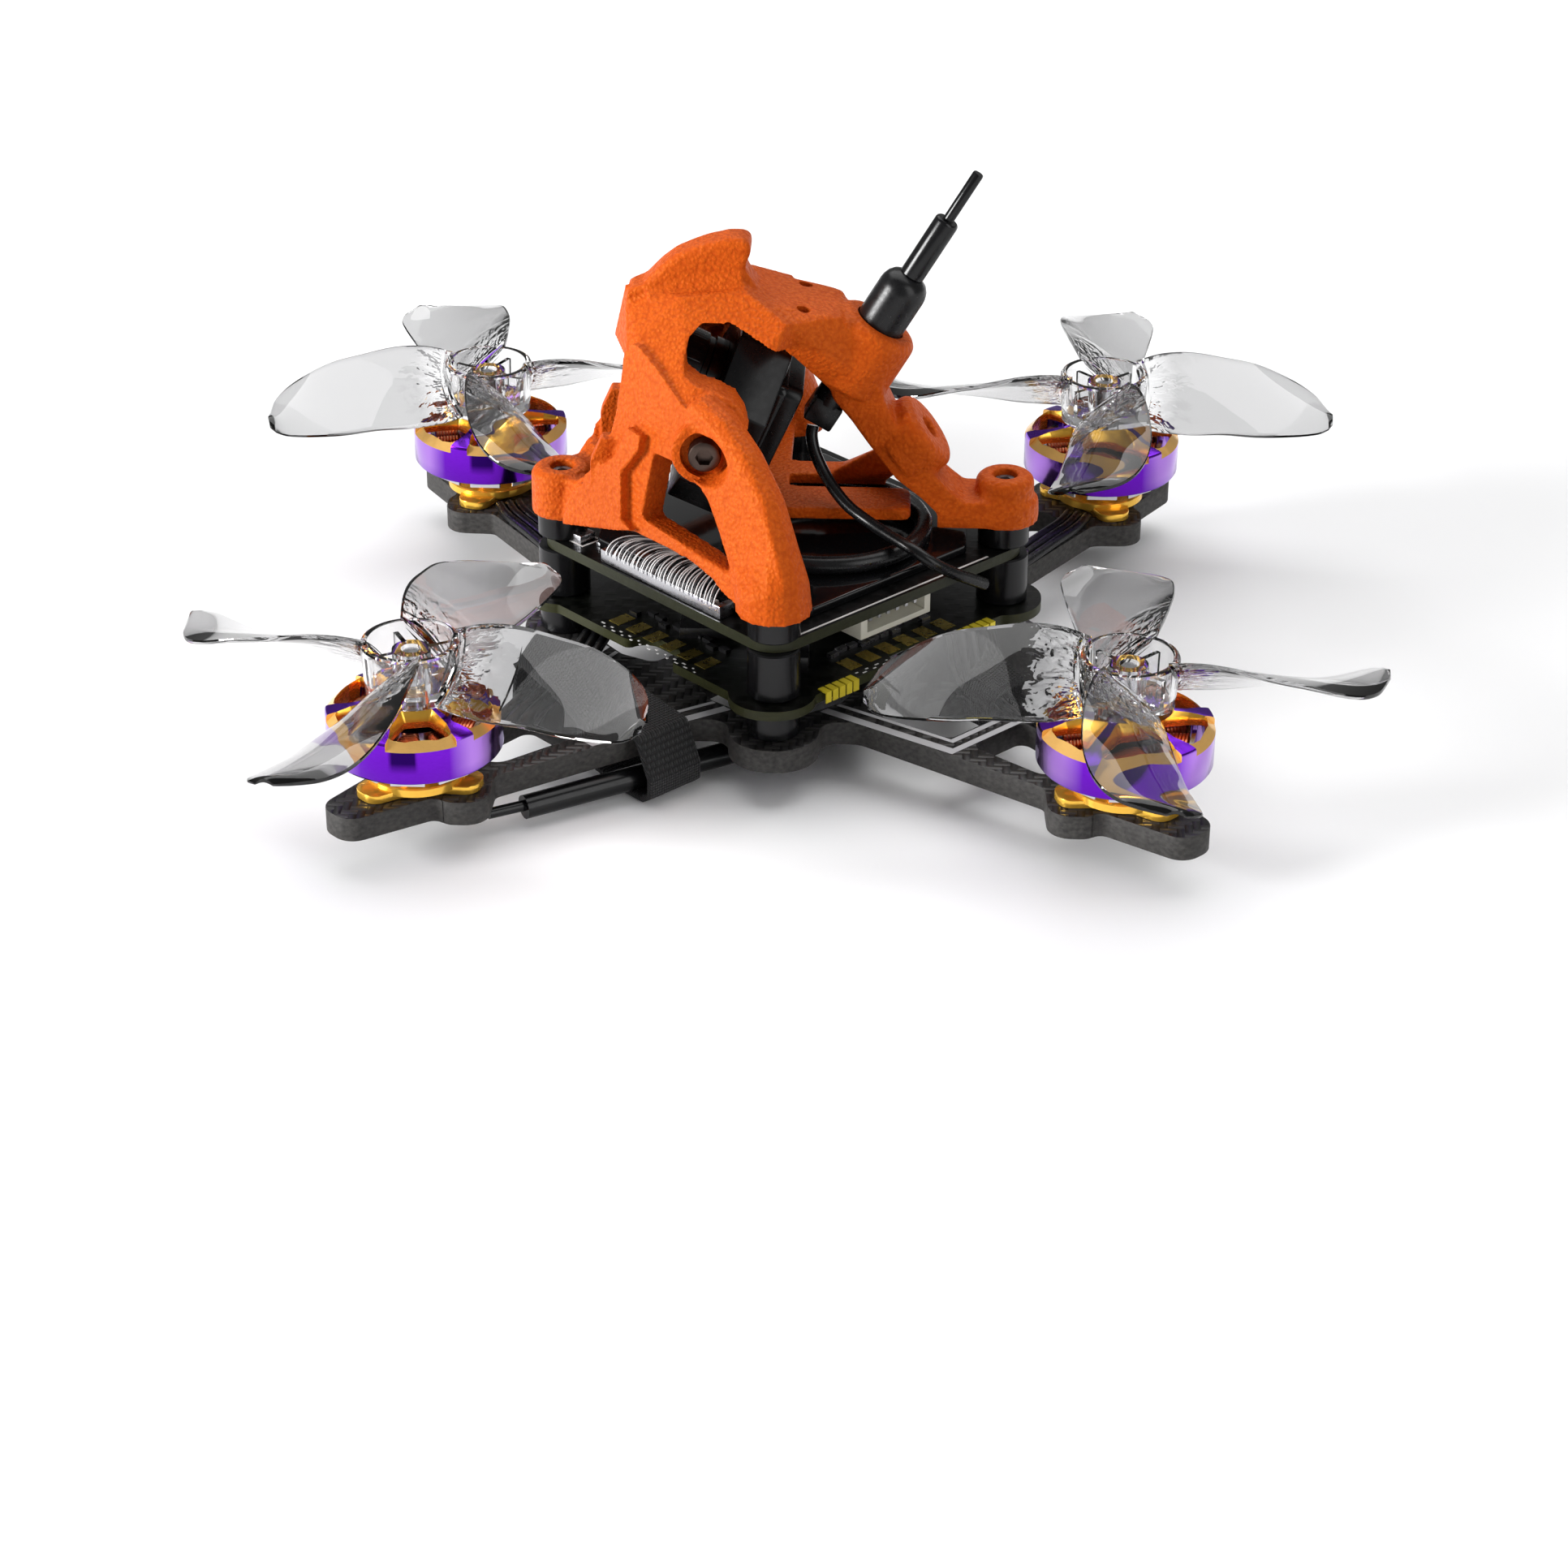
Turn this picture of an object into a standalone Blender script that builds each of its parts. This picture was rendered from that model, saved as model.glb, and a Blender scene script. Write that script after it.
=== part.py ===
"""An fpv racing drone of 77 mm wheelbase, in metres: nose toward -Y, up +Z, the plate's underside at z 0."""

import math

import bmesh
import bpy
from mathutils import Matrix, Vector

MM = 0.001
POST = 18.03  # radius of the four stack posts, a 25.5 mm square turned 45 degrees
MOTOR = 27.12  # x and y of each motor's axis
PLATE = 2.0  # thickness of the carbon plate
CONTROLLER = (4.6, 5.4)  # heights of the lower board
VIDEO = (9.6, 10.5)  # heights of the upper board
FOOT = 12.6  # underside of the canopy's feet
SCREW = 0.9  # radius of a stack screw's shank
PIVOT = (0.0, -5.7, 22.8)  # the camera's tilt axis, along X
TILT = math.radians(24.0)
AERIAL = (0.0, 7.7, 29.4)  # where the video antenna leaves its boss
AERIAL_LEAN = math.radians(30.65)
PANEL = 23.1  # the side panels' outer planes: |x| - y + 0.2 z
MOTORS = (
    ("front_left", 1, -1, -1, -17.0),
    ("front_right", -1, -1, 1, 17.0),
    ("rear_left", 1, 1, 1, 0.0),
    ("rear_right", -1, 1, -1, -2.0),
)
# One blade: out from the axis, leading edge, trailing edge, height at the middle, slope, thickness.
BLADE = (
    (2.8, -2.1, 2.3, 12.2, 0.95, 1.0),
    (5.0, -2.9, 2.8, 12.2, 0.85, 0.9),
    (7.5, -3.5, 3.1, 12.05, 0.74, 0.8),
    (10.5, -3.9, 3.4, 11.9, 0.56, 0.75),
    (13.3, -4.0, 3.8, 11.75, 0.45, 0.7),
    (15.6, -3.6, 4.2, 11.65, 0.32, 0.65),
    (17.4, -2.7, 4.5, 11.6, 0.22, 0.6),
    (18.7, -1.2, 4.6, 11.6, 0.15, 0.55),
    (19.5, 0.8, 4.2, 11.65, 0.12, 0.5),
)

for old in list(bpy.data.objects):
    bpy.data.objects.remove(old)
DRONE = bpy.data.collections.new("fpv_racing_drone")
HELPERS = bpy.data.collections.new("cutters")
for folder in (DRONE, HELPERS):
    bpy.context.scene.collection.children.link(folder)


# Tools, all in millimetres

def material(name, color, metallic=0.0, roughness=0.5, transmission=0.0):
    made = bpy.data.materials.new(name)
    made.use_nodes = True
    shader = made.node_tree.nodes["Principled BSDF"]
    shader.inputs["Base Color"].default_value = (*color, 1.0)
    shader.inputs["Metallic"].default_value = metallic
    shader.inputs["Roughness"].default_value = roughness
    shader.inputs["Transmission Weight"].default_value = transmission
    made.diffuse_color = (*color, 1.0)
    return made


def helper(obj):
    HELPERS.objects.link(obj)
    obj.hide_render = True
    obj.display_type = "WIRE"
    return obj


def node(obj, name, look, origin=None):
    """Makes a helper into one named piece, with its origin moved if one is given."""
    HELPERS.objects.unlink(obj)
    DRONE.objects.link(obj)
    obj.hide_render = False
    obj.display_type = "TEXTURED"
    obj.name = name
    obj.data.materials.clear()
    obj.data.materials.append(look)
    if origin:
        move = Matrix.Translation(Vector(origin) * MM)
        obj.data.transform(move.inverted() @ obj.matrix_world)
        obj.matrix_world = move
    return obj


def from_bmesh(name, bm):
    bmesh.ops.scale(bm, vec=(MM, MM, MM), verts=bm.verts)
    bmesh.ops.recalc_face_normals(bm, faces=bm.faces)
    mesh = bpy.data.meshes.new(name)
    bm.to_mesh(mesh)
    bm.free()
    return helper(bpy.data.objects.new(name, mesh))


def as_mesh(drawn):
    """The mesh of a curve, with its caps welded to its sides."""
    graph = bpy.context.evaluated_depsgraph_get()
    mesh = bpy.data.meshes.new_from_object(drawn.evaluated_get(graph))
    bm = bmesh.new()
    bm.from_mesh(mesh)
    bmesh.ops.remove_doubles(bm, verts=bm.verts, dist=0.001 * MM)
    bmesh.ops.recalc_face_normals(bm, faces=bm.faces)
    bm.to_mesh(mesh)
    bm.free()
    made = bpy.data.objects.new(drawn.name, mesh)
    made.matrix_world = drawn.matrix_world
    bpy.data.objects.remove(drawn)
    return helper(made)


def rounded(points):
    """A closed outline from corners (x, y) or (x, y, radius)."""
    outline = []
    for i, corner in enumerate(points):
        here = Vector(corner[:2])
        if len(corner) == 2:
            outline.append(tuple(here))
            continue
        before = (Vector(points[i - 1][:2]) - here).normalized()
        after = (Vector(points[(i + 1) % len(points)][:2]) - here).normalized()
        half = before.angle(after) / 2
        centre = here + (before + after).normalized() * (corner[2] / math.sin(half))
        start = here + before * (corner[2] / math.tan(half)) - centre
        end = here + after * (corner[2] / math.tan(half)) - centre
        sweep = math.remainder(math.atan2(end.y, end.x) - math.atan2(start.y, start.x), 2 * math.pi)
        steps = max(1 if corner[2] < 0.6 else 2, math.ceil(abs(sweep) / math.radians(32)))
        for k in range(steps + 1):
            outline.append(tuple(centre + Matrix.Rotation(sweep * k / steps, 2) @ start))
    return outline


def turned_by(degrees, points):
    """Corners turned about the middle, their radii kept."""
    turn = Matrix.Rotation(math.radians(degrees), 2)
    return [(*(turn @ Vector(point[:2])), *point[2:]) for point in points]


def circle(x, y, radius, steps=16):
    angles = [2 * math.pi * k / steps for k in range(steps)]
    return [(x + radius * math.cos(a), y + radius * math.sin(a)) for a in angles]


def plate(name, outlines, low, high, place=Matrix()):
    """The first outline less the others, between two heights of place's frame."""
    curve = bpy.data.curves.new(name, "CURVE")
    curve.dimensions = "2D"
    curve.fill_mode = "BOTH"
    curve.extrude = (high - low) / 2 * MM
    for outline in outlines:
        spline = curve.splines.new("POLY")
        spline.points.add(len(outline) - 1)
        for point, (x, y) in zip(spline.points, outline):
            point.co = (x * MM, y * MM, 0.0, 1.0)
        spline.use_cyclic_u = True
    drawn = bpy.data.objects.new(name, curve)
    bpy.context.scene.collection.objects.link(drawn)
    drawn.matrix_world = place @ Matrix.Translation((0, 0, (low + high) / 2 * MM))
    bpy.context.view_layer.update()
    return as_mesh(drawn)


def block(name, low, high, place=Matrix()):
    bm = bmesh.new()
    bmesh.ops.create_cube(bm, size=1.0)
    size = Vector(high) - Vector(low)
    bmesh.ops.scale(bm, vec=size, verts=bm.verts)
    bmesh.ops.translate(bm, vec=Vector(low) + size / 2, verts=bm.verts)
    made = from_bmesh(name, bm)
    made.matrix_world = place
    return made


def rod(name, start, end, radius, steps=24):
    """A plain cylinder between two points."""
    along = Vector(end) - Vector(start)
    bm = bmesh.new()
    bmesh.ops.create_cone(
        bm, cap_ends=True, segments=steps, radius1=radius, radius2=radius, depth=along.length
    )
    turn = along.to_track_quat("Z", "Y").to_matrix().to_4x4()
    middle = Matrix.Translation((Vector(start) + Vector(end)) / 2)
    bmesh.ops.transform(bm, matrix=middle @ turn, verts=bm.verts)
    return from_bmesh(name, bm)


def turned(name, profile, steps=24, place=Matrix(), ring=False):
    """A profile (radius, height), listed from the top down the outside, turned about place's Z."""
    mesh = bpy.data.meshes.new(name)
    edges = [(i, i + 1) for i in range(len(profile) - 1)]
    if ring:
        edges.append((len(profile) - 1, 0))
    mesh.from_pydata([(r * MM, 0, z * MM) for r, z in profile], edges, [])
    made = helper(bpy.data.objects.new(name, mesh))
    made.matrix_world = place
    screw = made.modifiers.new("Turn", "SCREW")
    screw.steps = steps
    screw.render_steps = steps
    screw.use_merge_vertices = True
    screw.merge_threshold = 0.00001
    return made


def hull(name, points):
    bm = bmesh.new()
    for point in points:
        bm.verts.new(point)
    found = bmesh.ops.convex_hull(bm, input=bm.verts)
    spare = {v for v in found["geom_interior"] + found["geom_unused"] if isinstance(v, bmesh.types.BMVert)}
    bmesh.ops.delete(bm, geom=list(spare), context="VERTS")
    bmesh.ops.dissolve_limit(bm, angle_limit=0.01, verts=bm.verts, edges=bm.edges)
    return from_bmesh(name, bm)


def loft(name, rings):
    """A closed skin over rings of equal count, with both ends capped."""
    bm = bmesh.new()
    rows = [[bm.verts.new(point) for point in ring] for ring in rings]
    for near, far in zip(rows, rows[1:]):
        for k in range(len(near)):
            after = (k + 1) % len(near)
            bm.faces.new((near[k], near[after], far[after], far[k]))
    bm.faces.new(reversed(rows[0]))
    bm.faces.new(rows[-1])
    return from_bmesh(name, bm)


def cord(name, points, radius, radii=None):
    """A round cord through points."""
    curve = bpy.data.curves.new(name, "CURVE")
    curve.dimensions = "3D"
    curve.use_fill_caps = True
    curve.bevel_resolution = 2
    curve.bevel_depth = radius * MM
    spline = curve.splines.new("POLY")
    spline.points.add(len(points) - 1)
    for i, point in enumerate(points):
        spline.points[i].co = (*(Vector(point) * MM), 1.0)
        spline.points[i].radius = radii[i] if radii else 1.0
    return helper(bpy.data.objects.new(name, curve))


def flipped(obj, name):
    """A copy of a mesh helper on the other side of x = 0."""
    mesh = obj.data.copy()
    mesh.transform(Matrix.Scale(-1, 4, (1, 0, 0)) @ obj.matrix_world)
    mesh.flip_normals()
    return helper(bpy.data.objects.new(name, mesh))


def change(obj, operation, others, solver="MANIFOLD"):
    for other in others:
        step = obj.modifiers.new(other.name, "BOOLEAN")
        step.operation = operation
        step.solver = solver
        step.object = other
    return obj


def joined(obj, *others):
    return change(obj, "UNION", others)


def less(obj, *others):
    return change(obj, "DIFFERENCE", others)


def both(points):
    """Points and their mirror images in x = 0."""
    return list(points) + [(-x, y, z) for x, y, z in points if x]


def arm_frame(x_side, y_side):
    """Along the arm, then across it."""
    return math.degrees(math.atan2(y_side, x_side))


POSTS = (
    ("front", 0.0, -POST),
    ("left", POST, 0.0),
    ("rear", 0.0, POST),
    ("right", -POST, 0.0),
)
TO_PANEL = Matrix(
    ((0.7071, -0.0990, 0.7001, 11.55 * MM), (0.7071, 0.0990, -0.7001, -11.55 * MM), (0, 0.9902, 0.1400, 0), (0, 0, 0, 1))
)
TO_AERIAL = Matrix.Translation(Vector(AERIAL) * MM) @ Matrix.Rotation(-AERIAL_LEAN, 4, "X")
TO_CAMERA = Matrix.Translation(Vector(PIVOT) * MM) @ Matrix.Rotation(math.pi / 2 - TILT, 4, "X")


# The carbon plate

def plate_outline():
    half = [
        (16.4, 3.7, 1.5), (16.4, 6.7, 2.0), (26.4, 21.2, 0.8), (30.75, 21.4, 1.85),
        (30.75, 24.6, 1.4), (29.9, 25.3, 0.9), (34.1, 31.65, 1.75),
    ]
    quarter = [(POST + 3.4, -3.4, 3.39), (POST + 3.4, 3.4, 3.39), *half]
    quarter += [(y, x, r) for x, y, r in reversed(half)]
    return rounded([corner for k in range(4) for corner in turned_by(90 * k, quarter)])


def plate_windows():
    inner = [(16.8, -4.8, 0.9), (23.05, -3.37, 0.9), (23.05, 3.37, 0.9), (16.8, 4.8, 0.9)]
    rear = [(13.4, -1.5, 0.9), *inner, (13.4, 1.5, 0.9)]
    outer = [(24.95, -2.95, 0.9), (32.6, -2.2, 1.5), (32.6, 2.2, 1.5), (24.95, 2.95, 0.9)]
    side = [(15.37, 1.86, 0.5), (14.1, 3.8, 1.0), (13.0, 5.2, 1.0), (10.3, 6.6, 1.0), (7.9, 4.4, 1.0)]
    beside_post = [(x, -y, r) for x, y, r in reversed(side)] + [(14.85, -0.68), (14.85, 0.68)] + side
    found = []
    for _, sx, sy, _, _ in MOTORS:
        angle = arm_frame(sx, sy)
        found.append(rounded(turned_by(angle, rear if sy > 0 else inner)))
        found.append(rounded(turned_by(angle, outer)))
    for k in range(4):
        found.append(rounded(turned_by(90 * k, beside_post)))
    return found


def frame_plate():
    holes = [circle(x, y, SCREW + 0.1) for _, x, y in POSTS]
    made = plate("plate", [plate_outline(), *plate_windows(), *holes], 0.0, PLATE)
    node(made, "frame_plate", material("woven carbon", (0.03, 0.03, 0.033), 0.0, 0.4))


# Motors and propellers

def motor_base(name, x, y, outward):
    place = Matrix.Translation((x * MM, y * MM, 0)) @ Matrix.Rotation(outward, 4, "Z")
    feet = []
    for k in range(3):
        feet += turned_by(120 * k, [(3.0, -1.7, 0.8), (5.3, -1.25, 1.2), (5.3, 1.25, 1.2), (3.0, 1.7, 0.8)])
    foot = plate(name, [rounded(feet)], PLATE + 0.05, 2.75, place)
    tube = turned("tube", [(1.7, 7.6), (1.7, 3.2), (3.9, 3.2), (3.9, 2.5), (0.8, 2.5), (0.8, 7.6)], 14, place, True)
    node(joined(foot, tube), name, material("gold anodised " + name, (0.95, 0.62, 0.08), 1.0, 0.25))


def stator(name, x, y):
    place = Matrix.Translation((x * MM, y * MM, 0))
    teeth = []
    for k in range(9):
        teeth += turned_by(40 * k, [(2.9, -0.95), (3.3, -0.75), (4.9, -0.75), (4.9, -1.45), (5.3, -1.3)])
        teeth += turned_by(40 * k, [(5.3, 1.3), (4.9, 1.45), (4.9, 0.75), (3.3, 0.75), (2.9, 0.95)])
    made = plate(name, [teeth, circle(0, 0, 1.75, 14)], 4.2, 7.6, place)
    node(made, name, material("copper winding " + name, (0.75, 0.24, 0.1), 1.0, 0.35))


def bell(name, x, y):
    place = Matrix.Translation((x * MM, y * MM, 0))
    profile = [
        (2.3, 9.3), (6.45, 8.55), (6.78, 7.75), (6.78, 5.3), (6.5, 5.11), (6.0, 5.11), (6.0, 7.9), (0.77, 7.9),
        (0.77, 9.3),
    ]
    made = turned(name, profile, 30, place, True)
    for k in range(6):
        pocket = rounded(turned_by(60 * k + 12, [(3.2, -1.1, 0.3), (5.75, -2.6, 0.5), (5.75, 2.6, 0.5), (3.2, 1.1, 0.3)]))
        less(made, plate("pocket", [pocket], 7.0, 10.0, place))
    node(made, name, material("purple anodised " + name, (0.25, 0.02, 0.75), 1.0, 0.2))


def shaft(name, x, y):
    place = Matrix.Translation((x * MM, y * MM, 0))
    profile = [(0.0, 13.1), (0.6, 13.1), (0.72, 12.9), (0.72, 2.85), (0.0, 2.85)]
    node(turned(name, profile, 12, place), name, material("steel " + name, (0.6, 0.6, 0.62), 1.0, 0.25))


def blade(x, y, spin, angle):
    out = Vector((math.cos(angle), math.sin(angle), 0))
    back = Vector((-math.sin(angle), math.cos(angle), 0)) * spin
    rings = []
    for u, lead, trail, middle, slope, thick in BLADE:
        ring = []
        for share, rise in ((0, 0), (0.22, 0.5), (0.65, 0.42), (1, 0), (0.65, -0.42), (0.22, -0.5)):
            w = lead + (trail - lead) * share
            ring.append(Vector((x, y, middle - slope * w + rise * thick)) + out * u + back * w)
        rings.append(ring)
    return loft("blade", rings)


def propeller(name, x, y, spin, phase):
    place = Matrix.Translation((x * MM, y * MM, 0))
    profile = [
        (3.3, 14.0), (3.85, 14.0), (3.6, 9.7), (0.77, 9.7), (0.77, 13.3), (1.5, 13.3), (1.5, 10.8), (3.15, 10.8),
    ]
    made = turned(name, profile, 20, place, True)
    for k in range(4):
        angle = math.radians(phase + 90 * k)
        rib = Matrix.Rotation(angle + math.pi / 4, 4, "Z")
        joined(made, blade(x, y, spin, angle), block("rib", (1.3, -0.2, 10.6), (3.4, 0.2, 13.2), place @ rib))
    node(made, name, material("smoked clear " + name, (0.55, 0.55, 0.56), 0.0, 0.05, 0.8))


# The stack

def screw_profile(low, top):
    return [
        (0.0, top), (SCREW, top), (SCREW, -0.05), (1.7, -0.05), (1.7, low), (0.85, low), (0.85, low + 0.55),
        (0.0, low + 0.55),
    ]


def stack_posts():
    black = material("black aluminium", (0.012, 0.012, 0.013), 0.2, 0.35)
    steel = material("black screw", (0.05, 0.05, 0.055), 0.9, 0.35)
    levels = (
        ("lower", PLATE + 0.05, CONTROLLER[0] - 0.05),
        ("middle", CONTROLLER[1] + 0.05, VIDEO[0] - 0.05),
        ("upper", VIDEO[1] + 0.05, FOOT - 0.05),
    )
    for where, x, y in POSTS:
        place = Matrix.Translation((x * MM, y * MM, 0))
        for level, low, high in levels:
            profile = [(2.1, high), (2.1, low), (1.15, low), (1.15, high)]
            node(turned("post", profile, 16, place, True), f"spacer_{level}_{where}", black)
        node(turned("screw", screw_profile(-1.0, 16.0), 12, place), f"stack_screw_{where}", steel)


def controller_board():
    half = [(POST + 3.3, 3.3, 3.2), (18.3, 3.3, 0.6), (12.1, 9.5, 0.6), (10.7, 8.1, 1.6)]
    quarter = [(POST + 3.3, -3.3, 3.2), *half, (7.1, 11.7, 1.6), (8.5, 13.1, 0.6), (3.6, 18.0, 0.6)]
    outline = rounded([corner for k in range(4) for corner in turned_by(90 * k, quarter)])
    holes = [circle(x, y, 1.1) for _, x, y in POSTS]
    made = plate("controller", [outline, *holes], *CONTROLLER)
    chips = (
        (-4, -4, 7, 7, 1.2, 1), (6.5, -5.5, 5, 5, 1.0, 1), (-7.5, 7.0, 4, 4, 0.9, 1), (5, 5.5, 4.5, 4.5, 1.1, 1),
        (-10.5, -2, 3, 5, 0.9, 1), (13.4, 0.4, 2.4, 4.4, 1.4, 1), (0, 0, 6, 6, 0.9, -1),
        (8, 5, 3.4, 3.4, 1.1, -1), (-8, 5, 3.4, 3.4, 1.1, -1), (8, -5, 3.4, 3.4, 1.1, -1), (-8, -5, 3.4, 3.4, 1.1, -1),
        (11.3, 0.0, 1.2, 4.0, 1.3, -1),
    )
    for x, y, wide, deep, tall, side in chips:
        low = CONTROLLER[1] - 0.1 if side > 0 else CONTROLLER[0] - tall
        joined(made, block("chip", (x - wide / 2, y - deep / 2, low), (x + wide / 2, y + deep / 2, low + tall + 0.1)))
    node(made, "controller_board", material("dark olive board", (0.02, 0.025, 0.012), 0.0, 0.4))


def video_board():
    outline = rounded([(20.5, 0.0, 2.6), (0.0, 20.5, 2.6), (-20.5, 0.0, 2.6), (0.0, -20.5, 2.6)])
    holes = [circle(x, y, 1.1) for _, x, y in POSTS]
    made = plate("video", [outline, *holes], *VIDEO)
    shield = block("shield", (-6.5, -6.5, VIDEO[0] - 1.6), (6.5, 6.5, VIDEO[0] + 0.1), Matrix.Rotation(math.pi / 4, 4, "Z"))
    node(joined(made, shield), "video_board", material("black board", (0.012, 0.014, 0.012), 0.0, 0.3))


def heat_spreader():
    quarter = [(15.0, -2.8, 0.8), (15.0, 2.8, 0.8)]
    outline = rounded([corner for k in range(4) for corner in turned_by(90 * k, quarter)])
    made = plate("spreader", [outline], VIDEO[1] + 0.05, 11.35)
    node(made, "heat_spreader", material("black heat spreader", (0.01, 0.01, 0.011), 0.6, 0.2))


def camera_connector():
    place = Matrix.Rotation(-math.pi / 4, 4, "Z")
    body = block("connector", (12.75, -6.3, VIDEO[1] + 0.05), (14.25, 8.1, 11.65), place)
    slot = block("slot", (12.5, -5.7, 11.0), (13.9, 7.5, 12.0), place)
    node(less(body, slot), "camera_connector", material("connector steel", (0.35, 0.35, 0.36), 0.8, 0.35))


def power_connector():
    place = Matrix.Rotation(math.pi / 4, 4, "Z")
    body = block("socket", (10.2, -3.7, 7.0), (13.15, 4.1, 9.5), place)
    slot = block("slot", (10.9, -3.0, 7.5), (13.6, 3.4, 9.0), place)
    node(less(body, slot), "power_connector", material("cream nylon", (0.62, 0.6, 0.5), 0.0, 0.5))


# The canopy

def cowl():
    """The faceted nose and roof, open to the front, below and behind."""
    skin = hull("cowl", both([
        (5.0, -11.3, 29.5), (4.8, -12.2, 28.5), (5.3, -13.0, 24.0), (11.9, -6.2, 25.0), (12.2, -6.5, 22.5),
        (0.0, -13.6, 27.7), (0.0, -12.6, 32.2), (3.1, -8.1, 32.5), (3.0, -2.8, 33.0), (5.3, 0.5, 31.2),
        (10.5, -2.7, 25.7), (11.0, -2.4, 24.6), (4.5, 0.9, 28.8),
    ]))
    room = hull("cowl room", both([
        (3.7, -11.3, 21.0), (3.7, -10.6, 28.0), (2.0, -11.2, 29.0), (10.6, -5.0, 21.0), (10.3, -5.0, 24.0),
        (1.9, -7.6, 30.9), (1.9, -2.8, 31.2), (3.7, 0.5, 29.3), (3.5, 4.0, 27.2), (10.3, 4.0, 21.0), (9.8, 4.0, 23.6),
    ]))
    side = [
        (-7.4, 27.9), (-7.5, 28.8), (-7.2, 30.2), (-6.2, 31.0), (-4.0, 31.1), (-2.3, 30.4), (-0.6, 29.6),
        (2.0, 28.4), (6.0, 24.0), (0.5, 21.5), (-1.4, 23.5), (-2.3, 24.6), (-2.7, 25.7), (-3.5, 26.6),
        (-4.8, 27.1), (-6.3, 27.4),
    ]
    opening = plate("side opening", [side], -20.0, 20.0, Matrix(((0, 0, 1, 0), (1, 0, 0, 0), (0, 1, 0, 0), (0, 0, 0, 1))))
    return less(skin, room, opening)


def panel():
    """One side panel with its triangular window, in its own plane."""
    outline = [
        (-12.3, 12.9), (-9.5, 13.1), (-5.0, 14.4), (-1.7, 14.8), (3.7, 14.7), (7.1, 14.0), (9.0, 13.2),
        (10.2, 12.9), (10.2, 16.0), (8.4, 19.0), (5.0, 23.5), (4.0, 25.2), (2.2, 26.5), (-1.7, 28.8),
        (-3.8, 29.8), (-4.5, 29.7), (-5.3, 28.7), (-5.35, 26.6), (-5.5, 24.2), (-5.9, 22.1), (-6.7, 20.2),
        (-8.4, 17.9), (-9.6, 16.6), (-12.3, 16.5),
    ]
    window = rounded([
        (-0.7, 21.9, 0.5), (-1.4, 16.2, 0.5), (9.8, 15.0, 0.4), (8.8, 17.4, 1.5), (7.35, 19.0, 1.5),
        (5.3, 20.4, 2.0), (2.9, 21.9, 2.0),
    ])
    rib = [
        (-3.1, 23.4), (-1.5, 23.1), (-1.6, 21.8), (-3.3, 19.5), (-2.8, 15.7), (-1.5, 15.2), (-3.4, 14.6),
        (-9.8, 13.0), (-9.6, 15.4), (-7.6, 18.0), (-4.2, 20.6),
    ]
    made = plate("panel", [outline, window], -2.3, 0.0, TO_PANEL)
    return joined(made, plate("rib", [rib], -0.5, 0.9, TO_PANEL))


def leg():
    """The rear edge of a panel: a thick rounded bar, flat where it lies in the panel's plane."""
    stations = (
        ((9.4, -6.4, 25.6), 1.9, 1.7, True), ((11.2, -4.9, 24.2), 2.6, 2.1, True),
        ((13.0, -3.5, 22.2), 3.1, 2.4, True), ((15.1, -2.0, 19.5), 3.3, 2.6, True),
        ((16.9, -0.9, 16.5), 3.1, 2.8, True), ((17.85, -0.15, 14.3), 3.0, 3.0, False),
        ((POST, 0.0, FOOT), 3.0, 3.0, False),
    )
    outward = Vector((1, -1, 0.2)).normalized()
    rings = []
    for i, (centre, along, deep, flat) in enumerate(stations):
        before = Vector(stations[max(i - 1, 0)][0])
        after = Vector(stations[min(i + 1, len(stations) - 1)][0])
        tangent = (after - before).normalized() if i < len(stations) - 1 else Vector((0, 0, -1))
        across = tangent.cross(outward).normalized()
        out = across.cross(tangent)
        x, y, z = centre
        reach = (PANEL - (x - y + 0.2 * z)) / math.sqrt(2.04) / out.dot(outward) - 0.04 if flat else 9.0
        ring = []
        for k in range(14):
            angle = 2 * math.pi * k / 14
            ring.append(Vector(centre) + across * along * math.cos(angle) + out * min(deep * math.sin(angle), reach))
        rings.append(ring)
    return loft("leg", rings)


def side_view(name, outline, low, high):
    """An outline (y, z) as a solid between two values of x."""
    return plate(name, [outline], low, high, Matrix(((0, 0, 1, 0), (1, 0, 0, 0), (0, 1, 0, 0), (0, 0, 0, 1))))


def strut():
    """The rear strap from the roof to the rear foot."""
    lower = side_view("strap", [
        (3.4, 26.0), (4.0, 23.7), (5.5, 21.9), (6.8, 20.0), (9.2, 16.8), (11.2, 15.2), (12.6, 13.8), (12.6, FOOT + 0.04),
        (17.8, FOOT + 0.04), (17.8, 14.9), (14.7, 14.95), (13.3, 16.1), (11.9, 17.8), (10.2, 19.7), (9.2, 21.3),
        (8.2, 23.6), (7.8, 26.5),
    ], -2.6, 2.6)
    upper = hull("strap root", both([
        (5.2, 0.4, 31.0), (5.0, -0.6, 29.75), (4.35, 1.1, 28.7), (3.5, 2.1, 27.3), (2.75, 4.0, 24.4),
        (2.75, 8.0, 24.6), (2.9, 4.6, 31.0), (3.3, -2.0, 32.3), (3.3, -2.0, 31.3),
    ]))
    boss = turned("boss", [(0.0, 0.0), (3.0, 0.0), (3.45, -0.5), (3.45, -5.6), (0.0, -5.6)], 28, TO_AERIAL)
    slope = Matrix.Translation(Vector((0, 11.9, 20.5)) * MM) @ Matrix.Rotation(-math.radians(53), 4, "X")
    pad = turned("pad", [(0.0, 0.0), (2.8, 0.0), (3.3, -0.5), (3.3, -3.4), (0.0, -3.4)], 24, slope)
    return joined(lower, upper, boss, pad), rod("pad hole", (0, 13.5, 21.7), (0, 7.0, 16.8), 0.95, 12)


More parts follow.
